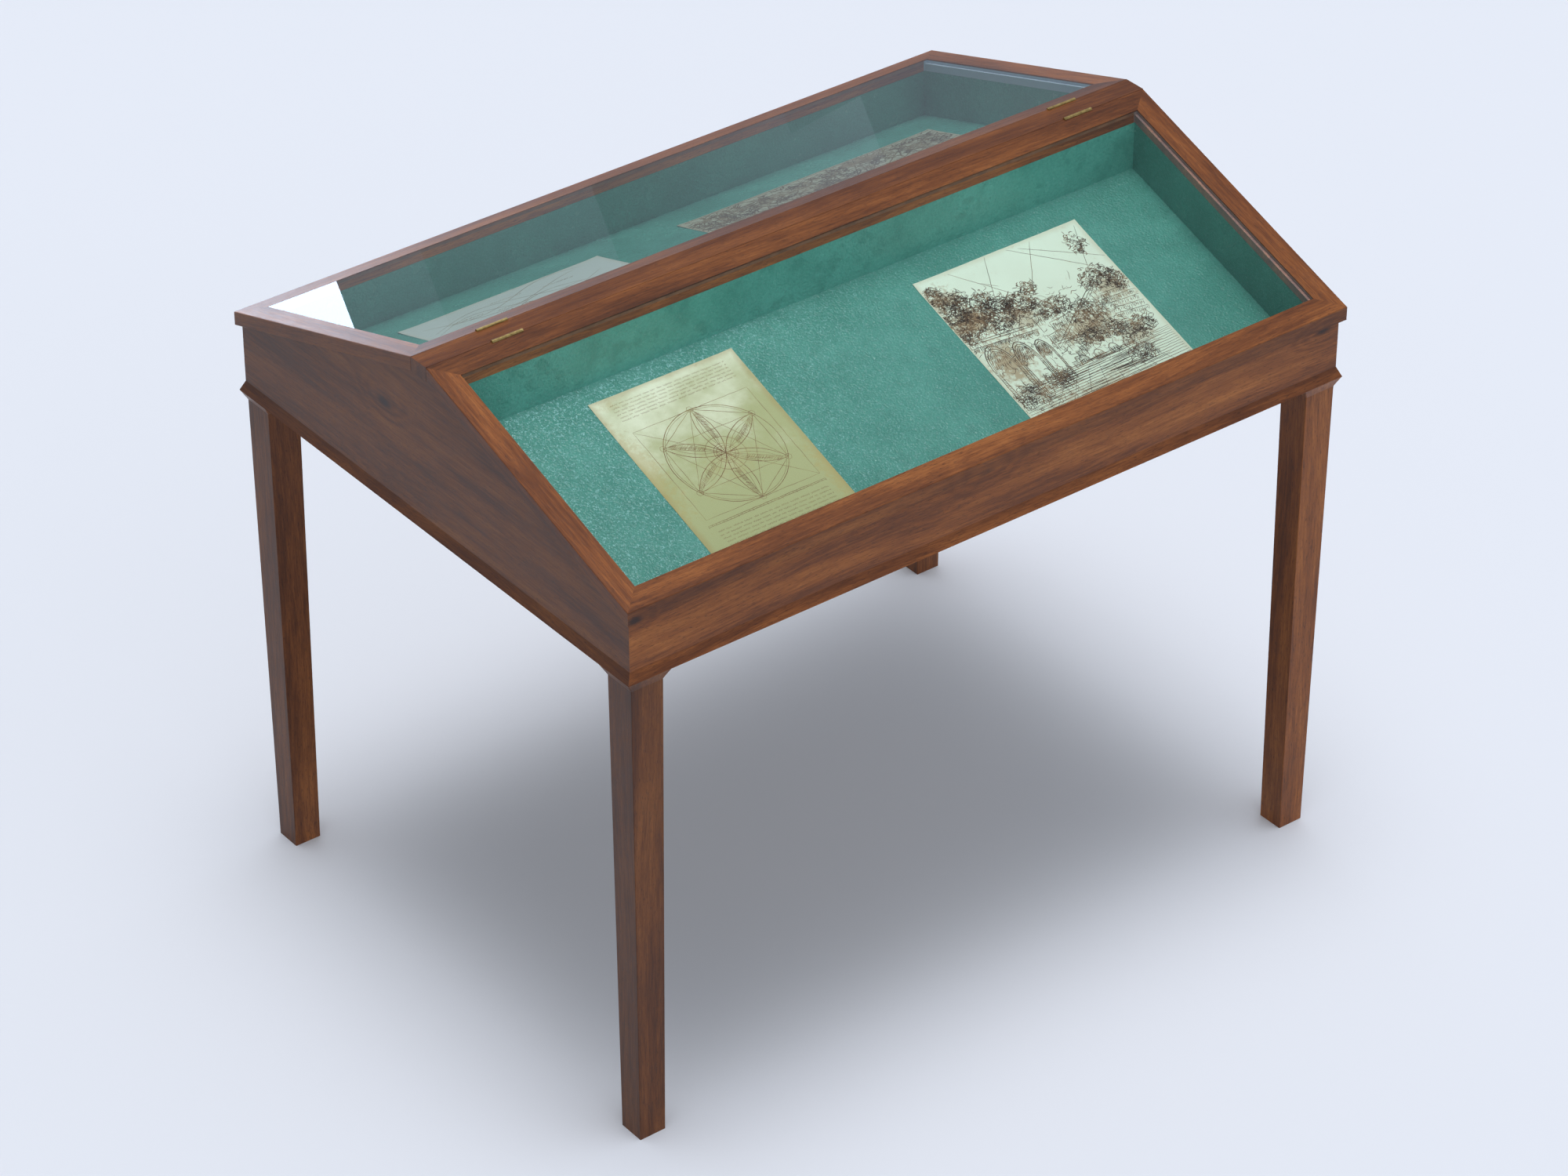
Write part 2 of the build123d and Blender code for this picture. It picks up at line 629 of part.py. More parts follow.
# ---------------------------------------------------------------- build
os.makedirs("parts", exist_ok=True)
make_walls()
make_base_mouldings()
make_base_board()
make_ridge()
make_legs()
make_leg_fastenings()
hinge_screw = make_screw()
make_leaves("hinge_fixed_leaves", (FRONT, REAR), towards_ridge=True, knuckles=(0, 2, 4))
make_screws("hinge_fixed_screws", (FRONT, REAR), towards_ridge=True, screw=hinge_screw)
make_pins()
for case_side in (FRONT, REAR):
    make_deck(case_side)
    make_linings(case_side)
    make_lid_frame(case_side)
    make_glazing(case_side)
    make_leaves(f"{case_side.name}_lid_hinge_leaves", (case_side,), towards_ridge=False, knuckles=(1, 3))
    make_screws(f"{case_side.name}_lid_hinge_screws", (case_side,), towards_ridge=False, screw=hinge_screw)
for display_sheet in SHEETS:
    make_sheet(display_sheet)
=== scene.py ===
"""Looks, light and camera of the table display case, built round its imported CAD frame.

Metres, +Z up. X runs along the ridge, -Y is the front and the floor is at Z = 0.
"""
import math
import random

import bmesh
import bpy
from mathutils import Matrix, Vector


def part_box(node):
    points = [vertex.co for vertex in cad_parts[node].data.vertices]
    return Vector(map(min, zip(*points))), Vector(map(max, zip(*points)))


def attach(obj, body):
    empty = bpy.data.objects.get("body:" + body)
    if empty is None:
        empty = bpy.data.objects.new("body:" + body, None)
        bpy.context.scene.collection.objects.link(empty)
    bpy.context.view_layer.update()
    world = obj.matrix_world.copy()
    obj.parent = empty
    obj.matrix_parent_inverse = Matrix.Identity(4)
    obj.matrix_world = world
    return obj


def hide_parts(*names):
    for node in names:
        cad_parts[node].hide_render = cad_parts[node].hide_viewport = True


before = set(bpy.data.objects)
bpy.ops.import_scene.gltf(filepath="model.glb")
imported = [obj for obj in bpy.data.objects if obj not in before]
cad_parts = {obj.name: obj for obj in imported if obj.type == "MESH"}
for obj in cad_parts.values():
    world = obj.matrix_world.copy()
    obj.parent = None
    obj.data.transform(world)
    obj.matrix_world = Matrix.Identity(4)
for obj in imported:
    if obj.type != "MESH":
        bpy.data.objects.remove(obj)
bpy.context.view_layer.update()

MM = 0.001
X_AXIS, Y_AXIS, Z_AXIS = (1, 0, 0), (0, 1, 0), (0, 0, 1)

# ---------------------------------------------------------------- camera and studio
CAMERA_PLACE = (-3.841, -4.949, 4.623)
CAMERA_TILT = math.radians(90 - 33.933)
CAMERA_TURN = math.radians(-37.718)
CAMERA_LENS = 125.06
SENSOR_WIDTH = 36.0

FLOOR_HALF = 14.0
FLOOR_DROP = 0.2 * MM
FLOOR_COLOUR = (0.750, 0.790, 0.890)
BACKDROP_COLOUR = (0.79, 0.845, 0.94)
ZENITH_COLOUR = (1.0, 0.985, 0.96)
ZENITH_STRENGTH = 13.8
ZENITH_SHARPNESS = 40.0
DOME_COLOUR = (0.93, 0.97, 1.0)
DOME_LEVEL = 0.30           # of the upper half, all round
DOME_FRONT = 0.56           # added towards the front
DOME_OTHER = 0.16           # added towards the back and the right
DOME_LEFT_LOSS = 0.75       # share taken away towards the left
BOUNCE_LEVEL = 0.05         # of the lower half, which stands for light off the floor
BOUNCE_FRONT = 0.55
BOUNCE_OTHER = 0.32
MIRRORED_COLOUR = (0.88, 0.95, 1.12)
MIRRORED_LEVEL = 0.40       # of the dome as glossy faces mirror it

# Tall panels stand in a row behind the case, where the rear pane mirrors them.
PANEL_Y = 4.0
PANEL_BOTTOM = 0.55
PANEL_TOP = 2.2
WINDOW_LEFT = -1.2
WINDOW_STRENGTH = 5.5
WINDOW_COLOUR = (0.86, 1.0, 1.22)
DIM_PANEL_ENDS = (1.40, 1.612, 2.056, 2.782)
DIM_PANEL_LEVELS = ((0.40, 0.40), (0.32, 0.39), (0.29, 0.52))
CUT_WIDTH = 0.204           # of the corner cut off the last panel
CUT_LEFT_TOP = 0.897
CUT_RIGHT_TOP = 0.874

# ---------------------------------------------------------------- pieces
PANE_DEPTH = 4.2 * MM       # upright thickness of a pane in the frame
LIP_DEPTH = 2.0 * MM        # of lid above the edges of the frame's pane
UNDER_LIP = 8.0 * MM        # how far those edges run on under the lid
PANE_SUNK = 0.15 * MM       # below the lid's face
PANE_GAP = 0.15 * MM        # to the lid all round
SEAL_GAP = 0.05 * MM
SHEET_DEPTH = 0.5 * MM      # upright thickness of a CAD sheet in the frame
PAPER_THICKNESS = 0.25 * MM
DECK_GAP = 0.03 * MM
COCKLE = 0.16 * MM
CORNER_CURL = 0.9 * MM
CORNER_REACH = 13 * MM
EDGE_WEAR = 0.25 * MM
TAN_REACH = 13 * MM
INK_MARGIN = 1.2 * MM
INK_SUNK = 0.05 * MM
INK_PROUD = 0.05 * MM
WAVE_HEIGHT = 1.5 * MM
PAPER_CELLS = (30, 36)      # of a sheet's mesh, across and down
FIRST_PEN_SEED = 71

# ---------------------------------------------------------------- finish colours, linear
WALNUT_STOPS = (
    (0.00, (0.085, 0.026, 0.010)),
    (0.30, (0.160, 0.048, 0.014)),
    (0.55, (0.255, 0.081, 0.021)),
    (0.78, (0.350, 0.120, 0.031)),
    (1.00, (0.460, 0.172, 0.048)),
)
COVERING_COLOUR = (0.092, 0.345, 0.290)
COVERING_DARK = (0.060, 0.250, 0.205)
PORE_COLOUR = (0.030, 0.011, 0.007)
KNOT_COLOUR = (0.016, 0.009, 0.010)
FIRST_WALNUT_SEED = 11
BOARD_SEED = 51
DOWEL_SEED = 52
# Pale colour painted on the cloth's crests as glints.
PAINTED_GLINT_COLOUR = (0.42, 0.78, 0.80)
GLINT_FADE_SPAN = (-0.42, 0.34)    # X over which the painted glints fade
GLINT_RIDGE_SPAN = (0.04, 0.14)       # distance from the ridge over which the painted glints are stronger
GLASS_TINT = (0.955, 0.975, 0.972)
GLASS_MIRROR = (0.92, 0.95, 1.0)
GLASS_INDEX = 1.40

# A painted sheen makes the right-hand inner edges of the lids pale, most of all in the rear lid.
PAINTED_SHEEN_COLOUR = (0.37, 0.48, 0.58)
SHEEN_REACH = 13 * MM
SHEEN_FADE = 1.5 * MM
PAINTED_EDGE_SHEENS = {"front_lid_beads": 0.25, "rear_lid_beads": 1.0}

# Ink washes: centre, radii and strength, in shares of the sheet.
PLATE_WASHES = (
    ((0.02, 0.42), (0.16, 0.42), 0.42),
    ((0.99, 0.72), (0.12, 0.32), 0.42),
    ((0.51, 0.49), (0.30, 0.16), 0.22),
    ((0.12, 0.04), (0.14, 0.05), 0.35),
)
COURT_WASHES = (
    ((0.08, 0.15), (0.15, 0.13), 0.60),
    ((0.10, 0.30), (0.20, 0.15), 0.85),
    ((0.14, 0.58), (0.19, 0.24), 0.75),
    ((0.38, 0.38), (0.18, 0.14), 0.60),
    ((0.62, 0.56), (0.27, 0.16), 0.65),
    ((0.88, 0.40), (0.16, 0.15), 0.60),
    ((0.82, 0.68), (0.15, 0.10), 0.55),
    ((0.40, 0.88), (0.55, 0.12), 0.40),
)
HALL_WASHES = (
    ((0.10, 0.50), (0.20, 0.50), 0.60),
    ((0.90, 0.50), (0.20, 0.50), 0.55),
    ((0.50, 0.70), (0.42, 0.25), 0.40),
    ((0.30, 0.90), (0.30, 0.14), 0.75),
    ((0.72, 0.86), (0.22, 0.12), 0.65),
)
# Paper name, pale, deep and tan tones, strength of the tanned rim, then wash colour and washes.
PAPERS = {
    "front_left": (
        "yellow", (0.88, 0.90, 0.71), (0.47, 0.48, 0.245), (0.42, 0.29, 0.11), 0.45,
        (0.50, 0.37, 0.13), PLATE_WASHES,
    ),
    "front_right": (
        "mint", (0.79, 0.90, 0.77), (0.74, 0.83, 0.70), (0.50, 0.38, 0.22), 0.30,
        (0.36, 0.225, 0.10), COURT_WASHES,
    ),
    "rear_left": ("pale", (0.50, 0.58, 0.56), (0.44, 0.52, 0.50), (0.44, 0.42, 0.30), 0.30),
    "rear_right": (
        "grey", (0.42, 0.46, 0.38), (0.34, 0.37, 0.29), (0.30, 0.25, 0.17), 0.35,
        (0.19, 0.14, 0.08), HALL_WASHES,
    ),
}

# The garden's trees and looser thickets: centre and radii in shares of the sheet, and strokes.
TREES = (
    (0.06, 0.24, 0.075, 0.055, 190), (0.17, 0.275, 0.08, 0.05, 190), (0.05, 0.36, 0.06, 0.045, 130),
    (0.29, 0.27, 0.08, 0.045, 170), (0.4, 0.31, 0.075, 0.055, 180), (0.54, 0.385, 0.09, 0.045, 150),
    (0.69, 0.47, 0.09, 0.06, 170), (0.86, 0.33, 0.09, 0.055, 170), (0.945, 0.375, 0.05, 0.05, 90),
    (0.905, 0.12, 0.05, 0.055, 60), (0.65, 0.6, 0.12, 0.045, 190), (0.84, 0.65, 0.1, 0.055, 170),
    (0.11, 0.77, 0.09, 0.05, 120), (0.29, 0.74, 0.07, 0.045, 100), (0.5, 0.25, 0.05, 0.035, 60),
    (0.23, 0.36, 0.11, 0.035, 140), (0.77, 0.78, 0.06, 0.045, 90), (0.05, 0.11, 0.05, 0.05, 120),
    (0.13, 0.165, 0.06, 0.045, 110), (0.25, 0.205, 0.05, 0.035, 70),
)
THICKETS = (
    (0.15, 0.45, 0.16, 0.20, 150), (0.40, 0.48, 0.20, 0.18, 170), (0.62, 0.58, 0.24, 0.16, 170),
    (0.84, 0.52, 0.17, 0.18, 110), (0.20, 0.80, 0.20, 0.10, 80), (0.50, 0.33, 0.36, 0.06, 80),
)
# Ends of its ruled guide lines, and the centres of the hall's groups of strokes.
GUIDES = (
    ((0.20, 0.02), (0.47, 0.30)), ((0.43, 0.01), (0.30, 0.26)), ((0.56, 0.015), (0.92, 0.29)),
    ((0.70, 0.02), (0.50, 0.30)), ((0.97, 0.03), (0.86, 0.27)), ((0.05, 0.06), (0.24, 0.22)),
    ((0.62, 0.03), (0.99, 0.24)), ((0.31, 0.13), (0.38, 0.18)),
)
CLUSTERS = ((0.30, 0.55), (0.42, 0.47), (0.66, 0.50), (0.78, 0.60), (0.52, 0.66), (0.20, 0.30), (0.86, 0.28))


# ---------------------------------------------------------------- node helpers
class Nodes:
    """The node tree of a material or world, with a short call for each kind of node."""

    def __init__(self, owner):
        self.owner = owner
        owner.use_nodes = True
        self.tree = owner.node_tree
        self.tree.nodes.clear()

    def add(self, kind, inputs=None, output=0, **settings):
        """Adds a node, fills or links its inputs and returns one of its outputs."""
        node = self.tree.nodes.new("ShaderNode" + kind)
        for key, value in settings.items():
            setattr(node, key, value)
        for key, value in (inputs or {}).items():
            if isinstance(value, bpy.types.NodeSocket):
                self.tree.links.new(value, node.inputs[key])
            else:
                node.inputs[key].default_value = value
        return node.outputs[output] if node.outputs else None

    def maths(self, operation, *values):
        return self.add("Math", dict(enumerate(values)), operation=operation)

    def dot(self, vector, direction):
        inputs = {0: vector, 1: tuple(direction)}
        return self.add("VectorMath", inputs, output="Value", operation="DOT_PRODUCT")

    def weighted(self, *layers, base=None):
        """Sum of (value, weight) pairs over an optional base."""
        total = base
        for value, weight in layers:
            if total is None:
                total = self.maths("MULTIPLY", value, weight)
            else:
                total = self.maths("MULTIPLY_ADD", value, weight, total)
        return total

    def scaled(self, vector, factors):
        """Scales a vector by one factor, or by one for each axis."""
        if not isinstance(factors, tuple):
            factors = (factors, factors, factors)
        return self.add("VectorMath", {0: vector, 1: factors}, operation="MULTIPLY")

    def shifted(self, vector, offset):
        return self.add("VectorMath", {0: vector, 1: offset}, operation="ADD")

    def noise(self, point, scale, detail=2.0, roughness=0.5, offset=None):
        """Noise on a scaled point, which may be shifted to another part of the pattern."""
        vector = self.scaled(point, scale)
        if offset is not None:
            vector = self.shifted(vector, offset)
        inputs = {"Vector": vector, "Scale": 1.0, "Detail": detail, "Roughness": roughness}
        return self.add("TexNoise", inputs)

    def remap(self, value, low, high, to_low=0.0, to_high=1.0):
        """Smooth step from one range to another."""
        inputs = {"Value": value, "From Min": low, "From Max": high, "To Min": to_low, "To Max": to_high}
        return self.add("MapRange", inputs, interpolation_type="SMOOTHSTEP")

    def ramp(self, value, stops):
        node = self.tree.nodes.new("ShaderNodeValToRGB")
        elements = node.color_ramp.elements
        while len(elements) < len(stops):
            elements.new(0.5)
        for element, (place, colour) in zip(elements, stops):
            element.position = place
            element.color = (*colour, 1.0)
        self.tree.links.new(value, node.inputs[0])
        return node.outputs[0]

    def length(self, vector):
        return self.add("VectorMath", {0: vector}, output="Value", operation="LENGTH")

    def mix(self, factor, first, second):
        """Mixes two colours."""
        node = self.tree.nodes.new("ShaderNodeMix")
        node.data_type = "RGBA"
        for index, value in ((0, factor), (6, first), (7, second)):
            if isinstance(value, bpy.types.NodeSocket):
                self.tree.links.new(value, node.inputs[index])
            else:
                node.inputs[index].default_value = value if index == 0 else (*value, 1.0)
        return node.outputs[2]

    def bump(self, height, strength, distance):
        return self.add("Bump", {"Height": height, "Strength": strength, "Distance": distance})

    def place(self):
        """The point being shaded, in metres in the object's own frame."""
        return self.add("TexCoord", output="Object")

    def finish(self, **values):
        """Ends the material in one Principled shader. Underscores stand for spaces."""
        inputs = {key.replace("_", " "): value for key, value in values.items()}
        shader = self.add("BsdfPrincipled", inputs)
        self.add("OutputMaterial", {"Surface": shader})
        return self.owner


# ---------------------------------------------------------------- materials
def painted_edge_sheen(s, colour, strength):
    """Painted sheen: a cool pale colour mixed into the inner edges at the right-hand end of a lid."""
    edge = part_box("rear_lid_glass")[1].x - SHEEN_REACH
    across = s.dot(s.place(), X_AXIS)
    return s.mix(s.remap(across, edge - SHEEN_FADE, edge, 0.0, strength), colour, PAINTED_SHEEN_COLOUR)


def walnut(name, grain, seed, knots=(), shade=1.0, sheen=0.0):
    """Satin walnut. The grain runs along one direction. Boards with the same seed
    show one continuous figure. A knot is its centre and its size along the grain.
    The shade is board tone with painted light and shade, and the sheen is a painted sheen on its right end."""
    s = Nodes(bpy.data.materials.new(name))
    along = Vector(grain).normalized()
    across = along.cross(Vector(Z_AXIS))
    if across.length < 0.1:
        across = Vector(Y_AXIS)
    across.normalize()
    third = along.cross(across)

    point = s.place()
    parts = {"X": s.dot(point, along), "Y": s.dot(point, across), "Z": s.dot(point, third)}
    board = s.add("CombineXYZ", parts)
    draw = random.Random(seed)
    cut = s.shifted(board, tuple(draw.uniform(-20.0, 20.0) for _ in range(3)))

    drift_inputs = {"Vector": s.scaled(cut, (1.6, 5.0, 5.0)), "Scale": 1.0, "Detail": 1.0}
    drift = s.add("TexNoise", drift_inputs, output="Color")
    drift = s.shifted(drift, (-0.5, -0.5, -0.5))
    bent = s.shifted(cut, s.scaled(drift, (0.0, 0.055, 0.055)))

    broad = s.noise(bent, (2.6, 30.0, 30.0), detail=3.0, roughness=0.55)
    figure = s.noise(bent, (1.3, 11.0, 11.0), detail=1.5, roughness=0.4)
    knot_core = None
    for centre, size in knots:
        centre = Vector(centre)
        middle = (-centre.dot(along), -centre.dot(across), -centre.dot(third))
        away = s.scaled(s.shifted(board, middle), (1 / size, 1.9 / size, 1.9 / size))
        distance = s.maths("ADD", s.length(away), s.maths("MULTIPLY", broad, 0.35))
        figure = s.maths("ADD", figure, s.remap(distance, 0.4, 5.5, 0.45, 0.0))
        core = s.remap(distance, 0.45, 1.55, 1.0, 0.0)
        knot_core = core if knot_core is None else s.maths("MAXIMUM", knot_core, core)
    rings = s.maths("PINGPONG", s.maths("MULTIPLY", figure, 11.0), 1.0)
    streak = s.noise(bent, (9.0, 150.0, 150.0), detail=3.0, roughness=0.6)
    dash = s.noise(bent, (20.0, 360.0, 360.0), detail=2.0, roughness=0.55)
    fibre = s.noise(bent, (42.0, 850.0, 850.0), detail=2.0, roughness=0.6)
    pore_noise = s.noise(bent, (120.0, 1500.0, 1500.0), detail=0.0)
    pores = s.remap(pore_noise, 0.64, 0.74)

    tone = s.weighted((broad, 0.85), (rings, 0.12), (streak, 0.42), (dash, 0.50), (fibre, 0.36))
    tone = s.remap(tone, 0.62, 1.66)
    colour = s.ramp(tone, [(place, tuple(shade * c for c in stop)) for place, stop in WALNUT_STOPS])
    colour = s.mix(s.maths("MULTIPLY", pores, 0.55), colour, PORE_COLOUR)
    if knot_core is not None:
        colour = s.mix(s.maths("MULTIPLY", knot_core, 0.88), colour, KNOT_COLOUR)
    # Painted sheen on the board's right-hand end.
    if sheen > 0.0:
        colour = painted_edge_sheen(s, colour, sheen)

    height = s.maths("SUBTRACT", s.weighted((streak, 0.5), base=fibre), pores)
    return s.finish(
        Base_Color=colour,
        Roughness=s.remap(fibre, 0.25, 0.75, 0.30, 0.42),
        Specular_IOR_Level=0.30,
        Normal=s.bump(height, 0.22, 0.25 * MM),
    )


def plain_wood(name, light, dark, seed):
    """Unfinished secondary timber, its grain along X."""
    s = Nodes(bpy.data.materials.new(name))
    draw = random.Random(seed)
    point = s.shifted(s.place(), (draw.uniform(-9.0, 9.0), draw.uniform(-9.0, 9.0), 0.0))
    broad = s.noise(point, (2.0, 34.0, 34.0), detail=3.0)
    fibre = s.noise(point, (30.0, 700.0, 700.0), detail=3.0)
    tone = s.remap(s.weighted((fibre, 0.5), base=broad), 0.5, 1.0)
    return s.finish(
        Base_Color=s.mix(tone, dark, light),
        Roughness=s.remap(fibre, 0.3, 0.7, 0.55, 0.7),
        Normal=s.bump(fibre, 0.25, 0.2 * MM),
    )


def leather_cloth(name, shade, glint_left, glint_right, blotch):
    """Green book cloth with a pebbled, half-glossy face. Pale crests, painted on as glints,
    fade from the left end to the right, and darker blotches can be laid over it."""
    s = Nodes(bpy.data.materials.new(name))
    point = s.place()
    # Strength of the painted glints, highest at the left end and near the ridge.
    glint = s.remap(s.dot(point, X_AXIS), *GLINT_FADE_SPAN, glint_left, glint_right)
    ridge_side = s.remap(s.maths("ABSOLUTE", s.dot(point, Y_AXIS)), *GLINT_RIDGE_SPAN, 0.35, 0.0)
    glint = s.maths("MULTIPLY_ADD", glint, ridge_side, glint)
    worm = s.noise(point, (320.0, 260.0, 320.0), detail=1.5, roughness=0.6)
    worm = s.maths("ABSOLUTE", s.maths("SUBTRACT", worm, 0.5))
    worm = s.maths("DIVIDE", worm, s.maths("MULTIPLY_ADD", glint, 0.052, 0.006))
    broken = s.noise(point, 230.0, detail=1.0, offset=(7.0, 3.0, 5.0))
    glint_crest = s.maths("MULTIPLY", s.remap(worm, 0.30, 1.0, 1.0, 0.0), s.remap(broken, 0.48, 0.56))
    glint_crest = s.maths("MULTIPLY", glint_crest, s.maths("MULTIPLY_ADD", glint, 0.34, 0.26))
    pebble = s.noise(point, 330.0, detail=1.0, roughness=0.4)
    crease = s.add("TexVoronoi", {"Vector": point, "Scale": 190.0}, feature="SMOOTH_F1")
    mottle = s.noise(point, 9.0, detail=4.0, roughness=0.6)
    fleck = s.noise(point, 900.0, detail=2.0)
    height = s.weighted((crease, -0.35), (glint_crest, 0.6), base=pebble)
    tone = s.weighted((fleck, 0.2), (pebble, 0.30), (mottle, 0.75))
    dark, light = (tuple(shade * c for c in colour) for colour in (COVERING_DARK, COVERING_COLOUR))
    colour = s.mix(s.remap(tone, 0.38, 0.85), dark, light)
    patch = s.noise(point, 26.0, detail=3.0, roughness=0.7, offset=(1.0, 8.0, 2.0))
    colour = s.mix(s.remap(patch, 0.50, 0.66, 0.0, blotch), colour, dark)
    # Painted glints: the pale crests stand in for light that the pebbled face reflects.
    colour = s.mix(glint_crest, colour, PAINTED_GLINT_COLOUR)
    return s.finish(
        Base_Color=colour,
        Roughness=s.remap(mottle, 0.3, 0.7, 0.20, 0.30),
        Specular_IOR_Level=0.5,
        Normal=s.bump(height, 0.9, 1.1 * MM),
    )


def pane_glass(name):
    """Clear float glass: one mirror face by Fresnel over a faint green tint."""
    s = Nodes(bpy.data.materials.new(name))
    clear = s.add("BsdfTransparent", {"Color": (*GLASS_TINT, 1.0)})
    smear = s.noise(s.place(), (7.0, 11.0, 7.0), detail=4.0, roughness=0.6)
    mirror_inputs = {"Color": (*GLASS_MIRROR, 1.0), "Roughness": s.remap(smear, 0.45, 0.85, 0.0, 0.035)}
    mirror = s.add("BsdfAnisotropic", mirror_inputs)
    share = s.add("Fresnel", {"IOR": GLASS_INDEX})
    outside = s.maths("SUBTRACT", 1.0, s.add("NewGeometry", output="Backfacing"))
    surface = s.add("MixShader", {0: s.maths("MULTIPLY", share, outside), 1: clear, 2: mirror})
    s.add("OutputMaterial", {"Surface": surface})
    return s.owner


def metal(name, light, dark, rough, seed):
    """Drawn metal with a patchy tarnish and fine lengthwise scratches."""
    s = Nodes(bpy.data.materials.new(name))
    point = s.shifted(s.place(), (seed, 0.0, 0.0))
    tarnish = s.noise(point, 160.0, detail=4.0, roughness=0.65)
    scratch = s.noise(point, (110.0, 2600.0, 2600.0), detail=1.0)
    return s.finish(
        Base_Color=s.mix(s.remap(tarnish, 0.35, 0.68), dark, light),
        Metallic=1.0,
        Roughness=s.remap(s.maths("ADD", tarnish, scratch), 0.7, 1.3, rough, rough + 0.18),
        Normal=s.bump(scratch, 0.15, 0.05 * MM),
    )


def floor_finish():
    """Matt pale studio floor with a barely uneven tone."""
    s = Nodes(bpy.data.materials.new("studio_floor"))
    uneven = s.noise(s.place(), 0.7, detail=3.0)
    low = tuple(0.985 * c for c in FLOOR_COLOUR)
    return s.finish(Base_Color=s.mix(uneven, low, FLOOR_COLOUR), Roughness=0.9, Specular_IOR_Level=0.0)


# ---------------------------------------------------------------- studio
def add_object(name, data):
    thing = bpy.data.objects.new(name, data)
    bpy.context.scene.collection.objects.link(thing)
    return thing


def add_stage_face(name, corners, finish):
    """One face of the studio. Diffuse and shadow rays pass through it."""
    mesh = bpy.data.meshes.new(name)
    mesh.from_pydata(corners, [], [range(len(corners))])
    mesh.materials.append(finish)
    face = add_object(name, mesh)
    face.visible_diffuse = False
    face.visible_shadow = False
    return face


def add_floor():
    signs = ((-1, -1), (1, -1), (1, 1), (-1, 1))
    corners = [(x * FLOOR_HALF, y * FLOOR_HALF, -FLOOR_DROP) for x, y in signs]
    add_stage_face("floor", corners, floor_finish())


def add_camera():
    data = bpy.data.cameras.new("camera")
    data.lens = CAMERA_LENS
    data.sensor_width = SENSOR_WIDTH
    camera = add_object("camera", data)
    camera.location = CAMERA_PLACE
    camera.rotation_euler = (CAMERA_TILT, 0.0, CAMERA_TURN)
    bpy.context.scene.camera = camera


def add_sky():
    """A dim dome, much brighter overhead. The camera itself sees a plain backdrop."""
    world = bpy.data.worlds.new("studio")
    s = Nodes(world)
    direction = s.add("TexCoord", output="Generated")

    def towards(x, y, z):
        return s.maths("MAXIMUM", s.dot(direction, (x, y, z)), 0.0)

    def light(colour, strength):
        return s.add("Background", {"Color": (*colour, 1.0), "Strength": strength})

    front, back, right, left = (towards(*way) for way in ((0, -1, 0), (0, 1, 0), (1, 0, 0), (-1, 0, 0)))
    rest = s.maths("ADD", back, right)
    left_loss = -DOME_LEFT_LOSS * DOME_LEVEL
    upper = s.weighted((left, left_loss), (front, DOME_FRONT), (rest, DOME_OTHER), base=DOME_LEVEL)
    lower = s.weighted((rest, BOUNCE_OTHER), (front, BOUNCE_FRONT), base=BOUNCE_LEVEL)
    above = s.maths("GREATER_THAN", s.dot(direction, Z_AXIS), 0.0)
    below = s.maths("SUBTRACT", 1.0, above)
    level = s.maths("ADD", s.maths("MULTIPLY", upper, above), s.maths("MULTIPLY", lower, below))

    path = s.tree.nodes.new("ShaderNodeLightPath").outputs
    dome, mirrored = light(DOME_COLOUR, level), light(MIRRORED_COLOUR, MIRRORED_LEVEL)
    dome = s.add("MixShader", {0: path["Is Glossy Ray"], 1: dome, 2: mirrored})
    lobe = s.maths("MULTIPLY", s.maths("POWER", towards(0, 0, 1), ZENITH_SHARPNESS), ZENITH_STRENGTH)
    lit = s.add("AddShader", {0: dome, 1: light(ZENITH_COLOUR, lobe)})
    seen = s.add("MixShader", {0: path["Is Camera Ray"], 1: lit, 2: light(BACKDROP_COLOUR, 1.0)})
    s.add("OutputWorld", {"Surface": seen})
    bpy.context.scene.world = world


def upright(left, right):
    """Outline of a full panel, as (x, z) corners from its lower left."""
    return [(left, PANEL_BOTTOM), (right, PANEL_BOTTOM), (right, PANEL_TOP), (left, PANEL_TOP)]


def add_panel(name, outline, levels, colour):
    """A glowing upright panel that only mirrors see. Its light runs from one level
    at its left end to another at its right."""
    x_low = min(x for x, _ in outline)
    x_high = max(x for x, _ in outline)
    s = Nodes(bpy.data.materials.new(name))
    inputs = {"Value": s.dot(s.place(), X_AXIS), "From Min": x_low, "From Max": x_high}
    inputs.update({"To Min": levels[0], "To Max": levels[1]})
    glow = s.add("Emission", {"Color": (*colour, 1.0), "Strength": s.add("MapRange", inputs)})
    s.add("OutputMaterial", {"Surface": glow})
    panel = add_stage_face(name, [(x, PANEL_Y, z) for x, z in outline], s.owner)
    panel.visible_camera = False


def add_panels():
    """One bright window and a row of dim panels to its right. The last one has a
    corner cut off its lower right."""
    window = upright(WINDOW_LEFT, DIM_PANEL_ENDS[0])
    add_panel("window_panel", window, (WINDOW_STRENGTH, WINDOW_STRENGTH), WINDOW_COLOUR)
    for index, levels in enumerate(DIM_PANEL_LEVELS):
        left, right = DIM_PANEL_ENDS[index:index + 2]
        outline = upright(left, right)
        if index == len(DIM_PANEL_LEVELS) - 1:
            cut = right - CUT_WIDTH
            outline[1:2] = [(cut, PANEL_BOTTOM), (cut, CUT_LEFT_TOP), (right, CUT_RIGHT_TOP)]
        add_panel(f"dim_panel_{index}", outline, levels, MIRRORED_COLOUR)


# ---------------------------------------------------------------- wood of the frame
def slope_of(side):
    """Unit vector down the slope of the front or rear lid, from its pane's box."""
    low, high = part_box(f"{side}_lid_glass")
    sign = -1 if side == "front" else 1
    drop = (high.z - low.z) - PANE_DEPTH
    return Vector((0.0, sign * (high.y - low.y), -drop)).normalized()


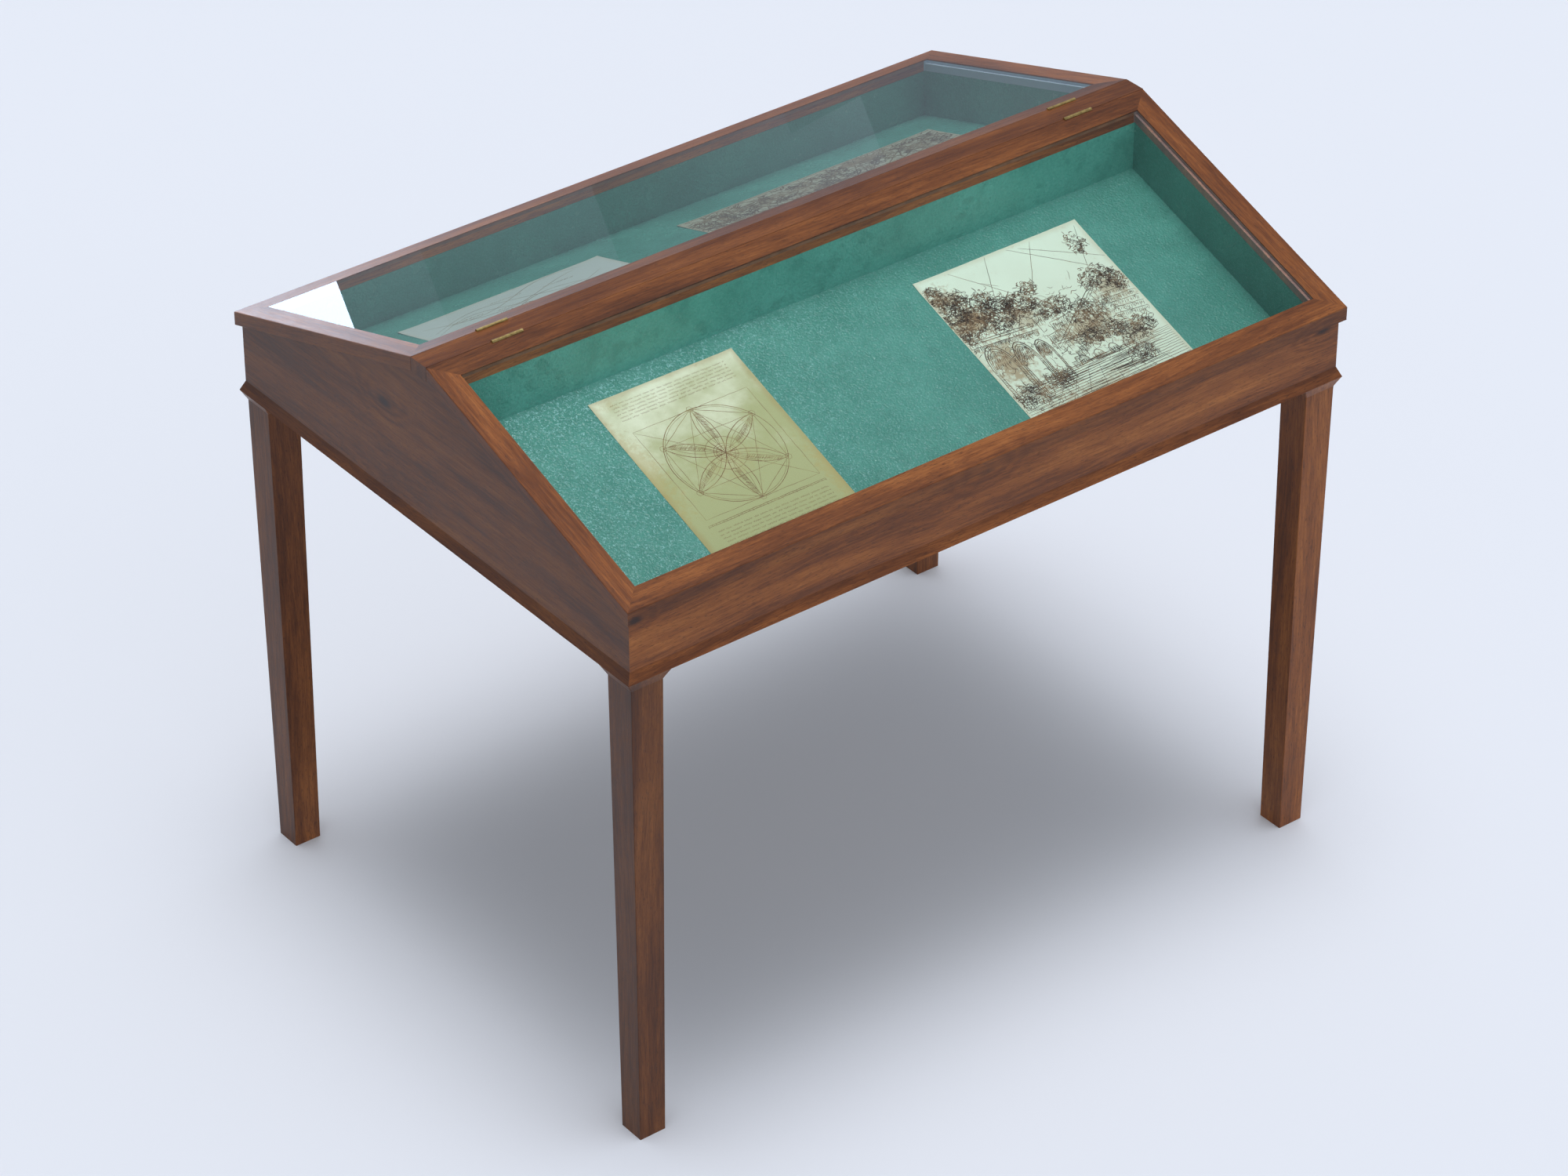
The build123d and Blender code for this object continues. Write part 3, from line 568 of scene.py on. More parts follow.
def walnut_finishes():
    """Each walnut node's finish. Boards in one group show one continuous figure, and
    each has its own shade, partly board tone and partly painted light and shade."""
    wall_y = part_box("front_wall")[0].y
    rail_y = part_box("front_lid_bottom_rail")[0].y
    end_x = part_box("left_end_panel")[0].x
    front_knots = (
        ((-0.025, wall_y, 0.833), 17 * MM),
        ((0.565, wall_y, 0.826), 14 * MM),
        ((-0.589, rail_y, 0.838), 11 * MM),
    )
    end_knots = (((end_x, 0.096, 0.892), 15 * MM),)
    # Painted shade darkens the ridge, top rails, front lid's bottom rail, left end and three legs;
    front = {"front_wall": 1.16, "front_base_moulding": 1.0, "front_lid_bottom_rail": 0.80}
    front["front_lid_beads"] = 1.55
    rear = {"rear_wall": 1.0, "rear_base_moulding": 0.9, "rear_lid_bottom_rail": 0.85}
    rear["rear_lid_beads"] = 1.7
    # painted light lightens the front wall, the beads and the front right leg.
    groups = [
        (X_AXIS, front_knots, front),
        (X_AXIS, (), rear),
        (X_AXIS, (), {"ridge_cap": 0.68, "front_lid_top_rail": 0.68, "rear_lid_top_rail": 0.68}),
        (Y_AXIS, end_knots, {"left_end_panel": 0.83, "left_base_moulding": 0.62}),
        (Y_AXIS, (), {"right_end_panel": 0.95, "right_base_moulding": 0.8}),
        (slope_of("front"), (), {"front_lid_left_stile": 0.90}),
        (slope_of("front"), (), {"front_lid_right_stile": 0.80}),
        (slope_of("rear"), (), {"rear_lid_left_stile": 0.90}),
        (slope_of("rear"), (), {"rear_lid_right_stile": 0.88}),
        (Z_AXIS, (), {"front_left_leg": 0.64}),
        (Z_AXIS, (), {"front_right_leg": 1.18}),
        (Z_AXIS, (), {"rear_left_leg": 0.78}),
        (Z_AXIS, (), {"rear_right_leg": 0.85}),
    ]
    finishes = {}
    for index, (grain, knots, shades) in enumerate(groups):
        for name, shade in shades.items():
            seed, sheen = FIRST_WALNUT_SEED + index, PAINTED_EDGE_SHEENS.get(name, 0.0)
            finishes[name] = walnut(f"walnut_{name}", grain, seed, knots, shade, sheen)
    return finishes


def dress_frame(clear):
    """Gives every CAD node its finish."""
    own = walnut_finishes()
    # The upright partition lining is painted half again lighter, standing in for the light its face catches
    # from the front.
    upright_cloth = leather_cloth("green_leather_partition", 1.50, 0.20, 0.08, 0.95)
    own.update({f"{side}_well_partition_lining": upright_cloth for side in ("front", "rear")})
    own["front_deck_lining"] = leather_cloth("green_leather_front_deck", 1.0, 1.0, 0.20, 0.55)
    by_slot = {
        "inner_wood": plain_wood("pale_board", (0.52, 0.36, 0.20), (0.36, 0.23, 0.12), BOARD_SEED),
        "beech": plain_wood("beech_dowel", (0.62, 0.42, 0.24), (0.48, 0.30, 0.16), DOWEL_SEED),
        "green_covering": leather_cloth("green_leather_cloth", 1.0, 0.06, 0.06, 0.4),
        "glass": clear,
        "brass": metal("drawn_brass", (0.58, 0.44, 0.17), (0.38, 0.27, 0.10), 0.30, 3.0),
        "zinc_steel": metal("zinc_plated_steel", (0.62, 0.63, 0.64), (0.42, 0.43, 0.45), 0.32, 5.0),
    }
    for name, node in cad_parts.items():
        slots = node.data.materials
        finish = own.get(name) or by_slot.get(slots[0].name.split(".")[0])
        if finish is not None:
            for index in range(len(slots)):
                slots[index] = finish


# ---------------------------------------------------------------- panes and seals
def slanted_block(side, inset, depths):
    """Corners of a rectangle let in from the edges of a lid's pane, at each of the
    given upright depths below the lid's face."""
    low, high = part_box(f"{side}_lid_glass")
    sign = -1 if side == "front" else 1
    near, far = (low.y, high.y) if sign > 0 else (high.y, low.y)
    fall = (high.z - PANE_DEPTH - low.z) / (far - near)
    left, right = low.x + inset, high.x - inset
    corners = []
    for depth in depths:
        for y, ends in ((near + sign * inset, (left, right)), (far - sign * inset, (right, left))):
            z = high.z + LIP_DEPTH - depth - fall * (y - near)
            corners += [(x, y, z) for x in ends]
    return corners


def add_pane(side, glass):
    """The part of the pane that shows, flush with the lid's face, in place of the CAD
    pane, whose edges run on behind a seal."""
    top_and_bottom = (PANE_SUNK, LIP_DEPTH + PANE_DEPTH)
    verts = slanted_block(side, UNDER_LIP + PANE_GAP, top_and_bottom)
    faces = [(0, 1, 2, 3), (4, 5, 6, 7)]
    faces += [(i, (i + 1) % 4, 4 + (i + 1) % 4, 4 + i) for i in range(4)]
    pane = add_piece(f"{side}_lid_pane", verts, faces, glass, f"{side}_lid")
    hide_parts(f"{side}_lid_glass")


def add_seal(side, finish):
    """The brown seal that fills the rebate round the edge of a pane."""
    top_and_bottom = (LIP_DEPTH + SEAL_GAP, LIP_DEPTH + PANE_DEPTH - SEAL_GAP)
    verts = slanted_block(side, 0.0, top_and_bottom)
    verts += slanted_block(side, UNDER_LIP - SEAL_GAP, top_and_bottom)
    faces = []
    for i in range(4):
        j = (i + 1) % 4
        faces += [(i, j, 8 + j, 8 + i), (4 + i, 4 + j, 12 + j, 12 + i)]
        faces += [(i, j, 4 + j, 4 + i), (8 + i, 8 + j, 12 + j, 12 + i)]
    add_piece(f"{side}_lid_seal", verts, faces, finish, f"{side}_lid")


def seal_finish(side):
    """Brown bedding compound, smooth and barely uneven, with a painted sheen at its lid's right-hand end."""
    s = Nodes(bpy.data.materials.new(f"brown_seal_{side}"))
    uneven = s.noise(s.place(), 60.0, detail=3.0)
    brown = s.mix(s.remap(uneven, 0.3, 0.7), (0.20, 0.085, 0.038), (0.30, 0.13, 0.06))
    return s.finish(
        Base_Color=painted_edge_sheen(s, brown, PAINTED_EDGE_SHEENS[f"{side}_lid_beads"]),
        Roughness=s.remap(uneven, 0.3, 0.7, 0.45, 0.6),
        Normal=s.bump(uneven, 0.1, 0.1 * MM),
    )


# ---------------------------------------------------------------- display sheets
class Sheet:
    """Where a display sheet lies. u runs right and v down the slope, in metres from
    the upper left corner, as the reader on that side of the case sees it."""

    def __init__(self, node, seed):
        low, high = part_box(node)
        sign = 1 if low.y > 0 else -1
        near, far = (low.y, high.y) if sign > 0 else (high.y, low.y)
        self.node = node
        self.seed = seed
        self.width = high.x - low.x
        self.down = Vector((0.0, far - near, low.z + SHEET_DEPTH - high.z))
        self.height = self.down.length
        self.down.normalize()
        self.right = Vector((-sign, 0.0, 0.0))
        self.normal = self.down.cross(self.right)
        self.corner = Vector((high.x if sign > 0 else low.x, near, high.z - SHEET_DEPTH))

    def cockle(self, u, v):
        """How far the damp-warped paper stands off the deck."""
        wave = math.sin(math.tau * (u / 0.13 + v / 0.21) + self.seed)
        cross = math.sin(math.tau * (v / 0.10 - u / 0.34) + 2.0 * self.seed)
        lift = COCKLE * (1.0 + 0.6 * wave + 0.4 * cross)
        for corner_v in (0.0, self.height):
            for corner_u in (0.0, self.width):
                away = math.hypot(u - corner_u, v - corner_v)
                lift += CORNER_CURL * math.exp(-away / CORNER_REACH)
        return lift

    def surface(self, u, v, lift):
        """Point at a height above the underside of the paper."""
        off = DECK_GAP + self.cockle(u, v) + lift
        return self.corner + self.right * u + self.down * v + self.normal * off


def add_piece(name, verts, faces, finish, body):
    """Makes a closed mesh that rides on a body."""
    mesh = bpy.data.meshes.new(name)
    mesh.from_pydata(verts, [], faces)
    work = bmesh.new()
    work.from_mesh(mesh)
    bmesh.ops.recalc_face_normals(work, faces=work.faces)
    work.to_mesh(mesh)
    work.free()
    mesh.materials.append(finish)
    piece = add_object(name, mesh)
    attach(piece, body)
    return piece


def add_paper(sheet, finish):
    """One cockled sheet with slightly uneven edges, in place of the flat CAD sheet."""
    draw = random.Random(sheet.seed)
    columns, rows = PAPER_CELLS
    edges = (("left", rows), ("right", rows), ("top", columns), ("bottom", columns))
    worn = {edge: [draw.uniform(0.0, EDGE_WEAR) for _ in range(cells + 1)] for edge, cells in edges}
    verts = []
    for lift in (0.0, PAPER_THICKNESS):
        for j in range(rows + 1):
            for i in range(columns + 1):
                u_low, u_high = worn["left"][j], sheet.width - worn["right"][j]
                v_low, v_high = worn["top"][i], sheet.height - worn["bottom"][i]
                u = u_low + (u_high - u_low) * i / columns
                v = v_low + (v_high - v_low) * j / rows
                verts.append(sheet.surface(u, v, lift))
    stride = columns + 1
    top = stride * (rows + 1)
    faces = []
    for j in range(rows):
        for i in range(columns):
            a = j * stride + i
            cell = (a, a + 1, a + 1 + stride, a + stride)
            faces.append(cell)
            faces.append(tuple(top + k for k in cell))
    rim = list(range(stride))
    rim += [j * stride + columns for j in range(1, rows + 1)]
    rim += [rows * stride + i for i in range(columns - 1, -1, -1)]
    rim += [j * stride for j in range(rows - 1, 0, -1)]
    for a, b in zip(rim, rim[1:] + rim[:1]):
        faces.append((a, b, top + b, top + a))
    paper = add_piece(sheet.node.replace("sheet", "paper"), verts, faces, finish, "case")
    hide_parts(sheet.node)


class Pen:
    """Ink strokes on one sheet, gathered into one mesh of thin closed ribbons. Their
    widths are in millimetres and all other lengths in metres."""

    def __init__(self, sheet, seed):
        self.sheet = sheet
        self.size = (sheet.width, sheet.height)
        self.draw = random.Random(seed)
        self.verts = []
        self.faces = []

    def inside(self, point):
        return all(INK_MARGIN < place < end - INK_MARGIN for place, end in zip(point, self.size))

    def stroke(self, points, width, fade=0.35):
        """A stroke through (u, v) points, narrower at its ends and cut at the paper's edge."""
        run = []
        for point in list(points) + [None]:
            if point is not None and self.inside(point):
                run.append(point)
                continue
            if len(run) > 1:
                self.ribbon(run, width, fade)
            run = []

    def ribbon(self, points, width, fade):
        last = len(points) - 1
        first_vertex = len(self.verts)
        for i, (u, v) in enumerate(points):
            before, after = points[max(i - 1, 0)], points[min(i + 1, last)]
            du, dv = after[0] - before[0], after[1] - before[1]
            length = math.hypot(du, dv) or 1.0
            half = 0.5 * width * MM * (fade + (1.0 - fade) * math.sqrt(math.sin(math.pi * i / last) + 1e-9))
            su, sv = -dv / length * half, du / length * half
            for lift in (PAPER_THICKNESS - INK_SUNK, PAPER_THICKNESS + INK_PROUD):
                self.verts.append(self.sheet.surface(u + su, v + sv, lift))
                self.verts.append(self.sheet.surface(u - su, v - sv, lift))
        for i in range(last):
            a = first_vertex + 4 * i
            b = a + 4
            self.faces += [(a + 2, a + 3, b + 3, b + 2), (a, b, b + 1, a + 1)]
            self.faces += [(a, a + 2, b + 2, b), (a + 1, b + 1, b + 3, a + 3)]
        end = first_vertex + 4 * last
        self.faces += [(first_vertex, first_vertex + 1, first_vertex + 3, first_vertex + 2)]
        self.faces += [(end, end + 2, end + 3, end + 1)]

    def line(self, start, end, width, wobble=0.4 * MM):
        length = math.hypot(end[0] - start[0], end[1] - start[1])
        count = max(3, int(length / (9 * MM)) + 1)
        points = []
        for i in range(count):
            t = i / (count - 1)
            shake = (self.draw.uniform(-wobble, wobble), self.draw.uniform(-wobble, wobble))
            points.append(tuple(a + (b - a) * t + s for a, b, s in zip(start, end, shake)))
        self.stroke(points, width, 0.5)

    def arc(self, centre, radii, start, end, width, wobble=0.3 * MM):
        """Part of an ellipse, its angles in degrees from the right, turning down."""
        reach = max(radii) * math.radians(abs(end - start))
        count = max(5, int(reach / (5 * MM)))
        points = []
        for i in range(count + 1):
            angle = math.radians(start + (end - start) * i / count)
            radius_u = radii[0] + self.draw.uniform(-wobble, wobble)
            radius_v = radii[1] + self.draw.uniform(-wobble, wobble)
            points.append((centre[0] + radius_u * math.cos(angle), centre[1] + radius_v * math.sin(angle)))
        self.stroke(points, width, 0.6)

    def hatch(self, start, end, slant, count, width):
        """Short parallel strokes set along a line, each one slant long and wide."""
        for i in range(count):
            t = (i + self.draw.uniform(-0.3, 0.3)) / max(count - 1, 1)
            u = start[0] + (end[0] - start[0]) * t
            v = start[1] + (end[1] - start[1]) * t
            stretch = self.draw.uniform(0.7, 1.15)
            self.line((u, v), (u + slant[0] * stretch, v + slant[1] * stretch), width)

    def scatter(self, centre, radii):
        """A random point in an ellipse."""
        angle = self.draw.uniform(0.0, math.tau)
        reach = math.sqrt(self.draw.random())
        return centre[0] + radii[0] * reach * math.cos(angle), centre[1] + radii[1] * reach * math.sin(angle)

    def foliage(self, centre, radii, count, leaf, width):
        """A cloud of small curled strokes, thicker towards its lower side."""
        for _ in range(count):
            u, v = self.scatter(centre, radii)
            shade = 0.7 + 0.6 * max(0.0, (v - centre[1]) / radii[1])
            size = leaf * self.draw.uniform(0.5, 1.3)
            turn = self.draw.uniform(0.0, 360.0)
            end = turn + self.draw.uniform(120.0, 300.0)
            self.arc((u, v), (size, size * 0.7), turn, end, width * shade, 0.2 * MM)

    def tangle(self, centre, radii, count, length, width):
        """Loose wandering strokes scattered over an ellipse."""
        for _ in range(count):
            u, v = self.scatter(centre, radii)
            heading = self.draw.uniform(0.0, math.tau)
            turn = self.draw.uniform(-0.5, 0.5)
            steps = self.draw.randint(4, 9)
            step = length * self.draw.uniform(0.5, 1.4) / steps
            points = [(u, v)]
            for _ in range(steps):
                turn += self.draw.uniform(-0.45, 0.45)
                heading += turn
                u += step * math.cos(heading)
                v += step * math.sin(heading)
                points.append((u, v))
            self.stroke(points, width * self.draw.uniform(0.6, 1.4), 0.3)

    def rows(self, left, top, right, count, pitch):
        """Rows of plain pen waves. They stand for notes and form no letters."""
        for row in range(count):
            v = top + row * pitch
            u = left + self.draw.uniform(0.0, 4 * MM)
            while u < right:
                word = min(self.draw.uniform(5 * MM, 17 * MM), right - u)
                steps = max(4, int(word / (1.0 * MM)))
                points = []
                for i in range(steps + 1):
                    rise = self.draw.uniform(0.25, 1.0) * WAVE_HEIGHT * (1 if i % 2 else -1)
                    points.append((u + word * i / steps, v + rise + self.draw.uniform(-0.1, 0.1) * MM))
                self.stroke(points, 0.60, 0.8)
                u += word + self.draw.uniform(2.2 * MM, 4.0 * MM)

    def finish(self, ink_colour, paper_colour):
        name = self.sheet.node.replace("sheet", "drawing")
        finish = ink(f"ink_{name}", ink_colour, paper_colour)
        add_piece(name, self.verts, self.faces, finish, "case")


def ink(name, colour, paper_colour):
    """Pen ink that runs thin and lets the paper show in places."""
    s = Nodes(bpy.data.materials.new(name))
    point = s.place()
    load = s.noise(point, 240.0, detail=3.0, roughness=0.6)
    wash = s.noise(point, 38.0, detail=2.0)
    thin = s.remap(s.maths("ADD", load, wash), 0.80, 1.30, 0.0, 0.75)
    return s.finish(
        Base_Color=s.mix(thin, colour, paper_colour),
        Roughness=s.remap(load, 0.3, 0.7, 0.6, 0.8),
    )


def parchment(name, sheet, pale, deep, tan, rim_strength, wash_colour=None, washes=()):
    """Aged paper, pale towards its upper edge partly as a painted highlight, tanned round its rim,
    given as centre, radii and strength in shares of the sheet."""
    s = Nodes(bpy.data.materials.new(name))
    point = s.shifted(s.place(), tuple(-c for c in sheet.corner))
    u = s.maths("DIVIDE", s.dot(point, sheet.right), sheet.width)
    v = s.maths("DIVIDE", s.dot(point, sheet.down), sheet.height)
    cloud = s.noise(point, 14.0, detail=4.0, roughness=0.6, offset=(sheet.seed, 0.0, 0.0))
    grit = s.noise(point, 120.0, detail=4.0, roughness=0.7)
    fibre = s.noise(point, (420.0, 1500.0, 420.0), detail=2.0)

    # Paler towards the upper edge: partly the paper's own tone, partly a painted highlight.
    pale_to_deep = s.weighted((u, 0.10), (v, 0.85), (cloud, 0.9))
    colour = s.mix(s.remap(pale_to_deep, 0.40, 0.96), pale, deep)
    rims = []
    for share, size in ((u, sheet.width), (v, sheet.height)):
        rims.append(s.maths("MULTIPLY", s.maths("MINIMUM", share, s.maths("SUBTRACT", 1.0, share)), size))
    rim = s.weighted((cloud, -TAN_REACH), base=s.maths("MINIMUM", *rims))
    colour = s.mix(s.remap(rim, -0.5 * TAN_REACH, 0.3 * TAN_REACH, rim_strength, 0.0), colour, tan)
    colour = s.mix(s.remap(grit, 0.60, 0.76, 0.0, 0.35), colour, tan)

    flat = s.add("CombineXYZ", {"X": u, "Y": v})
    for centre, radii, strength in washes:
        away = s.shifted(flat, (-centre[0], -centre[1], 0.0))
        distance = s.length(s.scaled(away, (1 / radii[0], 1 / radii[1], 0.0)))
        distance = s.weighted((cloud, 0.9), (grit, 2.2), base=distance)
        colour = s.mix(s.remap(distance, 1.65, 2.30, strength, 0.0), colour, wash_colour)
    return s.finish(
        Base_Color=colour,
        Roughness=s.remap(fibre, 0.3, 0.7, 0.62, 0.78),
        Specular_IOR_Level=0.3,
        Normal=s.bump(s.weighted((fibre, 0.4), base=grit), 0.25, 0.15 * MM),
    )


def draw_rosette(pen):
    """A plate of plane geometry: a ringed rosette of equal circles over a ruled scale,
    with rows of pen waves above and below."""
    w, h = pen.size
    centre = (0.51 * w, 0.450 * h)
    radius = 0.355 * w

    def on_ring(degrees):
        angle = math.radians(degrees)
        return centre[0] + radius * math.cos(angle), centre[1] + radius * math.sin(angle)

    pen.rows(0.10 * w, 0.045 * h, 0.90 * w, 6, 5.6 * MM)
    pen.arc(centre, (radius, radius), 0.0, 360.0, 1.0)
    pen.arc(centre, (0.965 * radius, 0.965 * radius), 20.0, 335.0, 0.5)
    for k in range(6):
        corner, following, second = (on_ring(60.0 * (k + step) + 30.0) for step in range(3))
        facing = 60.0 * k + 210.0
        pen.arc(corner, (radius, radius), facing - 60.0, facing + 60.0, 1.05)
        pen.arc(corner, (0.93 * radius, 0.93 * radius), facing - 54.0, facing + 54.0, 0.5)
        pen.line(corner, following, 0.7)
        pen.line(corner, second, 0.55)
        pen.line(corner, centre, 0.5)
        pen.arc(corner, (0.06 * radius, 0.06 * radius), 0.0, 360.0, 0.6)
        lean = tuple(0.11 * (a - c) for c, a in zip(centre, second))
        for share in (0.35, 0.50, 0.65, 0.80):
            start, end = (
                tuple(c + (a - c) * part for c, a in zip(centre, corner)) for part in (share, share + 0.12)
            )
            pen.hatch(start, end, lean, 8, 0.55)
    for share in (0.16, 0.20, 0.34):
        pen.arc(centre, (share * radius, share * radius), 0.0, 360.0, 0.65)
    left, right, low, high = 0.115 * w, 0.905 * w, 0.200 * h, 0.705 * h
    path = ((left, low), (right, low), (right, high), (left, high), (left, low), (right, high))
    for start, end in (*zip(path, path[1:]), ((centre[0], low), (centre[0], high))):
        pen.line(start, end, 0.6)
    scale_v = 0.735 * h
    for offset in (0.0, 2.4 * MM):
        pen.line((0.10 * w, scale_v + offset), (0.91 * w, scale_v + offset), 0.7)
    ticks = 32
    for k in range(ticks + 1):
        u = (0.10 + 0.81 * k / ticks) * w
        pen.line((u, scale_v), (u, scale_v + (4.2 if k % 4 == 0 else 2.4) * MM), 0.55, 0.1 * MM)
    pen.rows(0.12 * w, 0.775 * h, 0.89 * w, 10, 6.2 * MM)
    pen.finish((0.190, 0.075, 0.022), (0.42, 0.34, 0.14))


def draw_garden(pen):
    """A generic perspective study: an arcade, a stair, trees and a paved court."""
    w, h = pen.size

    def at(u, v):
        return (u * w, v * h)

    for k in range(21):
        v = 0.715 + 0.275 * (k / 20) ** 1.15
        pen.line(at(0.012, v + 0.014), at(0.988, v - 0.006), 0.72 + 0.020 * k, 0.5 * MM)
        for _ in range(6):
            u = pen.draw.uniform(0.02, 0.80)
            reach = pen.draw.uniform(0.05, 0.20)
            drop = pen.draw.uniform(0.002, 0.010)
            pen.line(at(u, v + drop), at(u + reach, v + drop - 0.001), 0.85)
    for k in range(8):
        foot = 0.02 + 0.137 * k
        pen.line(at(0.60 + 0.45 * (foot - 0.60), 0.745), at(foot, 0.995), 0.5)

    bays = ((0.015, 0.170), (0.170, 0.290), (0.290, 0.380))
    for k, (left, right) in enumerate(bays):
        middle, half = (left + right) / 2, (right - left) / 2
        spring, foot = 0.60 + 0.008 * k, 0.84 - 0.030 * k
        crown = 0.160 - 0.026 * k
        for share, width in ((0.92, 1.5), (0.80, 1.1), (0.70, 0.8)):
            pen.arc(at(middle, spring), (share * half * w, share * crown * h), 180.0, 360.0, width)
        for edge in (-0.92, -0.72, 0.72, 0.92):
            pen.line(at(middle + edge * half, spring), at(middle + edge * half, foot), 1.1)
        for edge in (-0.92, 0.72):
            start, end = at(middle + edge * half, spring), at(middle + edge * half, foot)
            pen.hatch(start, end, (0.20 * half * w, 1.5 * MM), 26, 0.8)
        for depth in (0.25, 0.45, 0.65):
            start = at(middle - 0.55 * half, spring - depth * crown)
            end = at(middle + 0.60 * half, spring - depth * crown)
            pen.hatch(start, end, (-3 * MM, 9 * MM), 15, 0.85)
        start, end = at(middle - 0.5 * half, foot - 0.05), at(middle + 0.6 * half, foot - 0.05)
        pen.hatch(start, end, (-2 * MM, 12 * MM), 10, 0.8)
        start, end = at(left, 0.440 + 0.010 * k), at(right, 0.445 + 0.012 * k)
        pen.hatch(start, end, (-2 * MM, 8 * MM), 26 - 5 * k, 0.85)
    for v in (0.400, 0.414, 0.438):
        pen.line(at(0.005, v), at(0.385, v + 0.030), 1.2)
    for v in (0.565, 0.577):
        pen.line(at(0.385, v), at(0.63, v + 0.02), 0.9)

    tread, rise = 0.032, 0.0205
    for k in range(14):
        u, v = 0.40 + tread * k, 0.700 - rise * k
        pen.line(at(u, v), at(u + tread, v - 0.001), 1.2, 0.2 * MM)
        pen.line(at(u + tread, v), at(u + tread, v - rise), 1.3, 0.2 * MM)
        slant = (1.5 * MM, pen.draw.uniform(4, 14) * MM)
        pen.hatch(at(u, v + 0.004), at(u + 0.030, v + 0.002), slant, 6, 0.8)
    pen.line(at(0.42, 0.585), at(0.86, 0.315), 1.1)
    pen.line(at(0.42, 0.600), at(0.86, 0.330), 0.8)
    for k in range(17):
        u = 0.43 + 0.0255 * k
        pen.line(at(u, 0.596 - 0.0156 * k), at(u, 0.660 - 0.0165 * k), 0.9, 0.2 * MM)
    for left in (0.44, 0.53, 0.62, 0.71):
        pen.arc(at(left + 0.032, 0.735), (0.030 * w, 0.055 * h), 180.0, 360.0, 1.2)
        pen.hatch(at(left + 0.008, 0.700), at(left + 0.055, 0.700), (-1 * MM, 10 * MM), 9, 0.9)
    for k in range(5):
        pen.line(at(0.80, 0.420 + 0.032 * k), at(0.985, 0.425 + 0.036 * k), 0.9)
        pen.hatch(at(0.81, 0.425 + 0.032 * k), at(0.975, 0.430 + 0.036 * k), (-2 * MM, 6 * MM), 18, 0.8)
    for left, right, v in ((0.40, 0.56, 0.40), (0.46, 0.60, 0.46), (0.40, 0.50, 0.52)):
        pen.line(at(left, v), at(right, v - 0.01), 1.0)
        pen.line(at(left, v), at(left, v + 0.10), 0.9)
        pen.line(at(right, v - 0.01), at(right, v + 0.08), 0.9)
        pen.hatch(at(left, v + 0.01), at(right, v), (-3 * MM, 14 * MM), 16, 0.75)

    for u, v, reach_u, reach_v, count in TREES:
        pen.foliage(at(u, v), (reach_u * w, reach_v * h), count // 2, 4.0 * MM, 1.05)
        pen.tangle(at(u, v), (1.25 * reach_u * w, 1.3 * reach_v * h), int(0.8 * count), 9 * MM, 0.95)
    for u, v, reach_u, reach_v, count in THICKETS:
        pen.tangle(at(u, v), (reach_u * w, reach_v * h), int(0.8 * count), 13 * MM, 0.75)
    for start, end in GUIDES:
        pen.line(at(*start), at(*end), 0.7)
    pen.finish((0.042, 0.020, 0.009), (0.33, 0.195, 0.095))


def draw_hills(pen):
    """A faint landscape of low hills."""
    w, h = pen.size
    for k in range(13):
        base = (0.24 + 0.052 * k) * h
        swell = (0.05 + 0.006 * k) * h
        turns, phase = pen.draw.uniform(0.7, 1.5), pen.draw.uniform(0.0, math.tau)
        left, right = pen.draw.uniform(0.02, 0.25), pen.draw.uniform(0.70, 0.98)
        points = []
        for i in range(41):
            t = left + (right - left) * i / 40
            points.append((t * w, base - swell * math.sin(math.tau * turns * t + phase)))
        pen.stroke(points, 1.3, 0.3)
        u = pen.draw.uniform(0.1, 0.8) * w
        pen.hatch((u, base), (u + 0.14 * w, base + 0.01 * h), (-5 * MM, 4 * MM), 16, 1.0)
    for u, v in ((0.24, 0.36), (0.31, 0.40), (0.68, 0.33), (0.80, 0.47)):
        pen.foliage((u * w, v * h), (0.05 * w, 0.07 * h), 80, 4.2 * MM, 1.2)
    pen.finish((0.19, 0.15, 0.09), (0.40, 0.40, 0.30))


